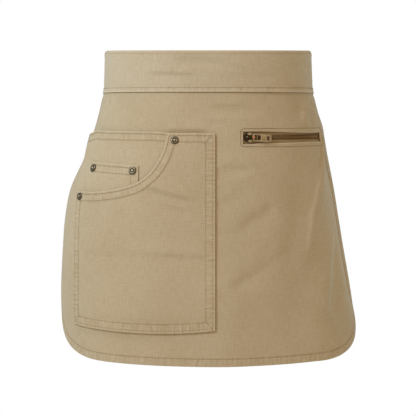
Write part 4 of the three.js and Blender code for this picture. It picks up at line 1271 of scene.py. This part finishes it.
def setPlates(name, plates, material, body, node, shell=None):
    # plates: mesh, shift in mm, turn in its own plane in degrees, wear; shell: arrays of one more shape
    allVerts, allFaces, wear, copperAndGlint = [], [], [], []
    begin = 0
    for mesh, shift, turnBy, rub in plates:
        verts = np.empty(len(mesh.vertices) * 3, np.float32)
        mesh.vertices.foreach_get("co", verts)
        c, d = math.cos(math.radians(turnBy)), math.sin(math.radians(turnBy))
        allVerts.append(verts.reshape(-1, 3) @ np.array([(c, d, 0), (-d, c, 0), (0, 0, 1)]) + np.array(shift))
        allFaces += [[begin + v for v in face.vertices] for face in mesh.polygons]
        wear.append(np.full(len(mesh.vertices), rub))
        copperAndGlint.append(np.zeros(len(mesh.vertices)))
        begin += len(mesh.vertices)
        bpy.data.meshes.remove(mesh)
    if shell:
        allVerts.append(shell[0])
        allFaces += (shell[1] + begin).tolist()
        wear.append(shell[2])
        copperAndGlint.append(shell[3])
    merged = bpy.data.meshes.new(name)
    merged.from_pydata(np.concatenate(allVerts) @ sliderAxes.T * mm + sliderSpot, [], allFaces)
    for key, values in (("wear", wear), ("copperAndGlint", copperAndGlint)):
        store = merged.attributes.new(key, "FLOAT", "POINT")
        store.data.foreach_set("value", np.concatenate(values).astype(np.float32))
    plateFaces = len(allFaces) - (len(shell[1]) if shell else 0)
    merged.polygons.foreach_set("use_smooth", np.arange(len(allFaces)) >= plateFaces)
    merged.update()
    merged.validate()
    merged.materials.append(material)
    piece = bpy.data.objects.new(name, merged)
    scene.collection.objects.link(piece)
    cover(piece, node, body)
    return piece


slider = {
    "top": [(-6, 3.2), (-4.4, 4.8), (-0.4, 6.0), (2.6, 5.4), (4.6, 3.9), (9.6, 3.3)],
    "low": [(-6, 3.2), (-4.4, 5.2), (-0.5, 5.8), (3.4, 5.0), (7, 4.0)],
    "noseHole": [(-5.0, 1.5), (-3.2, 1.7), (-2.9, 3.0), (-4.4, 3.1)],
    "wing": [(-2.2, 3.4), (-1.3, 5.3), (0.6, 5.9), (2.6, 5.2), (3.7, 3.7), (2.2, 2.5), (-0.4, 2.5)],
    "tailLip": [(8.7, -2.9), (9.5, -2.8), (9.5, 2.8), (8.7, 2.9)],
    "wedge": [(-5.1, 0.6), (-3.6, -0.9), (-2.1, 0.6), (-3.6, 2.1)],
    # along the bridge: place, underside, top, half-width, wear, copper; the dark crown is a painted dark
    # reflection, and the bright reddish end, where the pull rubs, is partly wear and partly painted highlight
    "bridge": [
        (-4.6, 1.5, 1.7, 0.9, 0.3, 0.0), (-4.3, 1.5, 3.2, 1.1, 0.3, 0.0), (-3.4, 1.5, 4.3, 1.4, 0.2, 0.0),
        (-3.0, 3.1, 4.6, 1.5, 0.1, 0.0), (-1.8, 3.8, 5.0, 1.8, 0.0, 0.0), (0.4, 3.9, 5.2, 2.0, 0.0, 0.0),
        (2.4, 3.9, 5.2, 1.8, 0.1, 0.0), (3.2, 3.9, 5.1, 1.5, 0.6, 0.8), (4.6, 3.9, 5.0, 1.8, 1.0, 1.0),
        (5.5, 3.4, 4.7, 2.1, 1.0, 1.0), (5.7, 1.5, 4.5, 2.1, 0.8, 0.9), (6.5, 1.5, 3.8, 1.8, 0.6, 0.8),
        (6.9, 1.5, 2.4, 1.0, 0.4, 0.3), (6.95, 1.5, 1.7, 0.5, 0.3, 0.0),
    ],
}


def flip(outline):  # the other side of the chain
    return [(u, -v) for u, v in outline[::-1]]


def bridgeShell(rows, sides=20):
    # Loft: each row is a superellipse in v and n between the underside and the top, half-width wide.
    u, low, high, wide, wear, copperAndGlint = (np.array(column)[:, None] for column in zip(*rows))
    a = np.linspace(0, 2 * math.pi, sides, endpoint=False)[None, :]
    rounded = lambda w: np.sign(w) * np.abs(w) ** 0.7
    v = wide * rounded(np.cos(a))
    n = (low + high) / 2 + (high - low) / 2 * rounded(np.sin(a))
    verts = np.stack([u + 0 * a, v, n], -1).reshape(-1, 3)
    faces = closedTube(len(rows), sides)
    return verts, faces, np.repeat(wear[:, 0], sides), np.repeat(copperAndGlint[:, 0], sides)


topPlate = cutPlate([
    roundedLoop(slider["top"] + flip(slider["top"]), 1.2), roundedLoop(slider["noseHole"], 0.7),
    roundedLoop(flip(slider["noseHole"]), 0.7),
], 1.2, 0.3)
plates = [(topPlate, (0, 0, 1.15), 0.0, 0.05)]
single = [  # outline, radius of its corners, thickness, bevel, height, wear
    (slider["low"] + flip(slider["low"]), 1.2, 1.2, 0.35, -3.15, 0.2),
    (slider["wedge"], 0.5, 3.6, 0.1, -1.0, 0.2),
    # the wings and the tail lip are fully bright: rubbed high points, and painted highlight
    (slider["wing"], 0.9, 1.2, 0.4, 1.6, 1.0),
    (flip(slider["wing"]), 0.9, 1.2, 0.4, 1.6, 1.0),
    (slider["tailLip"], 0.3, 0.7, 0.2, 1.6, 1.0),
]
for outline, radius, thick, bevel, level, rub in single:
    plates.append((cutPlate([roundedLoop(outline, radius)], thick, bevel), (0, 0, level), 0.0, rub))
setPlates("zip_slider_body", plates, darkBrass, "apron", "zip_slider", bridgeShell(slider["bridge"]))
pull = {
    "at": (4.2, 2.65), "thick": 1.2, "droop": 4.4,
    "plate": [(-0.6, -4.5), (21.5, -4.5), (21.5, 4.5), (-0.6, 4.5)],
    "eye": [(0.7, -3.0), (0.7, 3.0), (9.0, 3.0), (9.0, -3.0)],
    "slot": [(16.3, -2.6), (16.3, 2.6), (19.2, 2.6), (19.2, -2.6)],
}
pullPlate = cutPlate([
    roundedLoop(pull["plate"], 1.6), roundedLoop(pull["eye"], 2.4), roundedLoop(pull["slot"], 0.5),
], pull["thick"], 0.3)
setPlates("zip_pull_tab", [
    (pullPlate, (pull["at"][0], 0, pull["at"][1]), -pull["droop"], 0.95),
], darkBrass, "zip_pull", "zip_pull")
print("zip made")

# Pocket bag behind the zip: sewn close to the panel round its edge and slack in the middle.
bag = {
    "left": 24.0, "right": 171.0, "top": -55.0, "bottom": -140.0, "gap": 0.6, "depth": 3.9, "cloth": 1.0,
    "row": 4.0, "spacing": 2.6, "inset": 0.5,
    # room behind the tapes: deep, from this height up, over; slanting waves: high, way across, way down
    "tapeRoom": (1.5, -106.0, 12.0), "waves": (0.7, 13.0, 21.0),
}
inset = bag["inset"]
bagS = bag["left"] + inset + marks(bag["right"] - bag["left"] - 2 * inset, edgeSteps[:5], bag["spacing"])
bagZ = bag["top"] - inset - marks(bag["top"] - bag["bottom"] - 2 * inset, edgeSteps[:5], bag["spacing"])
bagS, bagZ = np.meshgrid(bagS, bagZ)


def bagDepth(s, z):  # clear of the tapes above, and one slack swell with slanting waves inside the seams
    sides = ramp(s - bag["left"] - 3, 12) * ramp(bag["right"] - s - 3, 14)
    ends = ramp(z - bag["bottom"] - 3, 30) * ramp(bag["top"] - z - 1, 12)
    deep, start, over = bag["tapeRoom"]
    behindTape = ramp(z - start, over) * deep
    high, wayAcross, wayDown = bag["waves"]
    slack = high * np.sin(s / wayAcross + z / wayDown) * sides * ends
    return behindTape + (bag["depth"] - behindTape) * sides * ends + np.maximum(0, slack)


def bagBack(s, z):  # the face away from the skirt
    return -bag["gap"] - bag["cloth"] - bagDepth(s, z)


def bagLoop(inset):  # closed outline, moved in from the edges
    left, right = bag["left"] + inset, bag["right"] - inset
    top, bottom = bag["top"] - inset, bag["bottom"] + inset
    return np.array([(left, bottom), (left, top), (right, top), (right, bottom), (left, bottom)])


gap, run = edgeField(bagS, bagZ, bagLoop(0.0))
bagPiece = sewnCloth(
    "zip_pocket_bag_cloth", "zip_pocket_bag", bagS, bagZ,
    bagBack(bagS, bagZ) + bag["cloth"],
    bagBack(bagS, bagZ),
    pocketing,
    seamFields(gap, gap - bag["row"], gap + farOff, run),
)
bagThreads = threadPiece(
    "zip_pocket_bag_stitches", [stitchRun(bagLoop(bag["row"]), bagBack, -1)], thread)

# Rivets: turned profiles with a domed rim, a hollow ring and a nub, the post and the burr behind.
rivet = {
    "radius": 4.7, "post": 1.3, "burr": 2.9, "burrGap": 0.7, "sides": 48,
    # name, s, z, layer on top, height of the lowest layer
    "at": [
        ("rivet_scoop_top", -37.4, -79.2, "front", 1.3),
        ("rivet_scoop_side", -161.5, -145.3, "front", 0.0),
        ("rivet_coin_left", -141.5, -113.2, "coin", 1.3),
        ("rivet_coin_right", -86.4, -114.5, "coin", 1.3),
    ],
}
layerTop = {
    "front": lambda s, z: frontOut + pocket["gap"] + pocketLift(s, z) + pocketBulge(s, z),
    "coin": lambda s, z: frontOut + pocket["gap"] + pocketLift(s, z),
}
for name, s, z, layer, under in rivet["at"]:
    axes, spot = axesOn(s, z, layerTop[layer])
    at = np.array([s], float), np.array([z], float)
    lowest = under + (pocketLift(*at)[0] if under else 0.0)
    depth = float(layerTop[layer](*at)[0] - lowest + rivet["burrGap"])
    r, burr, post = rivet["radius"], rivet["burr"], rivet["post"]
    profile = np.array([  # radius, height, wear
        (0.01, -depth - 0.8, 0.3), (burr - 0.3, -depth - 0.8, 0.3), (burr, -depth - 0.4, 0.3),
        (burr, -depth, 0.1), (post, -depth, 0.1), (post, -0.3, 0.1),
        (r - 0.6, -0.35, 0.0), (r - 0.15, -0.1, 0.0), (r, 0.3, 0.0), (r - 0.12, 0.7, 0.05),
        (r - 0.45, 1.05, 0.2), (r - 0.95, 1.32, 0.32), (r - 1.5, 1.45, 0.36), (r - 2.0, 1.4, 0.22),
        (2.35, 1.28, 0.0), (1.95, 1.22, 0.0), (1.7, 1.3, 0.1), (1.5, 1.5, 0.4),
        (1.25, 1.8, 0.7), (0.9, 2.02, 0.9), (0.45, 2.13, 1.0), (0.01, 2.16, 1.0),
    ])
    a = np.linspace(0, 2 * math.pi, rivet["sides"], endpoint=False)
    ringPoints = np.stack([
        profile[:, 0, None] * np.cos(a), profile[:, 0, None] * np.sin(a), profile[:, 1, None] + 0 * a,
    ], -1)
    verts = ringPoints.reshape(-1, 3) @ axes.T * mm + spot
    faces = closedTube(len(profile), rivet["sides"])
    wear = np.repeat(profile[:, 2], rivet["sides"])
    piece = makeMesh(name + "_cap", verts, faces, darkBrass, fields={"wear": wear})
    cover(piece, name)
print("bag and rivets made")

# Camera, light and floor
view = {"from": (0.0, -3.0, -0.015), "pitch": 2.783, "focal": 2530.4, "frame": 416}
camera = bpy.data.objects.new("camera", bpy.data.cameras.new("camera"))
camera.data.sensor_width = 36.0
camera.data.lens = view["focal"] * 36.0 / view["frame"]
camera.location = view["from"]
camera.rotation_euler = (math.radians(90 - view["pitch"]), 0, 0)
scene.collection.objects.link(camera)
scene.camera = camera

studio = {
    "floor": -0.95, "floorRadius": 4.0, "floorColour": "#f3f2f0",
    # the soft glow all round, where from and linear colour: a cool backdrop, a warm ceiling in front
    "glows": [((0.0, 1.0, 0.0), (0.364, 0.687, 0.898)), ((0.0, -0.53, 0.848), (0.645, 0.42, 0.215))],
    "lampFrom": (-0.9, -0.85, 0.66), "lampAim": (0, -0.1, -0.15), "lampSize": 0.4, "lampPower": 13.4,
    "lampColour": "#cae2ff",
}
# A round floor, so its far edge looks level from every side
bearing = np.linspace(0, 2 * math.pi, 180, endpoint=False)
floorRim = studio["floorRadius"] * np.stack([np.cos(bearing), np.sin(bearing), 0 * bearing], 1)
floorRim[:, 2] = studio["floor"]
floorMesh = bpy.data.meshes.new("floor")
floorMesh.from_pydata(floorRim.tolist(), [], [tuple(range(len(floorRim)))])
floorPaint, tree = newMaterial("matt_painted_floor")
finishMaterial(tree, {"Base Color": linear(studio["floorColour"]), "Roughness": 0.9})
floorMesh.materials.append(floorPaint)
floor = bpy.data.objects.new("floor", floorMesh)
scene.collection.objects.link(floor)
lamp = bpy.data.lights.new("lamp", "AREA")
lamp.shape = "DISK"
lamp.size = studio["lampSize"]
lamp.energy = studio["lampPower"]
lamp.color = linear(studio["lampColour"])[:3]
lampHolder = bpy.data.objects.new("lamp", lamp)
zAxis = unit(np.array(studio["lampFrom"]) - np.array(studio["lampAim"]))
xAxis = unit(np.cross((0, 0, 1), zAxis))
turnTo = np.stack([xAxis, np.cross(zAxis, xAxis), zAxis], 1)
lampHolder.matrix_world = Matrix.Translation(studio["lampFrom"]) @ Matrix(turnTo.tolist()).to_4x4()
scene.collection.objects.link(lampHolder)
sky = bpy.data.worlds.new("studio")
sky.use_nodes = True
tree = sky.node_tree
tree.nodes.clear()
seenWhite = addNode(tree, "ShaderNodeBackground", {"Color": (1, 1, 1, 1), "Strength": 1.0})
way = addNode(tree, "ShaderNodeTexCoord").outputs["Generated"]
glow = (0.0, 0.0, 0.0)
for where, colour in studio["glows"]:  # each falls off evenly from its own side to the far side
    aim = addNode(tree, "ShaderNodeVectorMath", {0: way, 1: where}, operation="DOT_PRODUCT").outputs["Value"]
    share = addNode(tree, "ShaderNodeMapRange", {"Value": aim, "From Min": -1.0, "From Max": 1.0})
    lit = addNode(tree, "ShaderNodeVectorMath", {0: colour, "Scale": share}, operation="SCALE")
    glow = addNode(tree, "ShaderNodeVectorMath", {0: glow, 1: lit}, operation="ADD")
soft = addNode(tree, "ShaderNodeBackground", {"Color": glow, "Strength": 1.0})
isSeen = addNode(tree, "ShaderNodeLightPath").outputs["Is Camera Ray"]
mixed = addNode(tree, "ShaderNodeMixShader", {0: isSeen, 1: soft, 2: seenWhite})
addNode(tree, "ShaderNodeOutputWorld", {"Surface": mixed})
scene.world = sky
scene.view_settings.view_transform = "Standard"
print("camera, light and floor made")
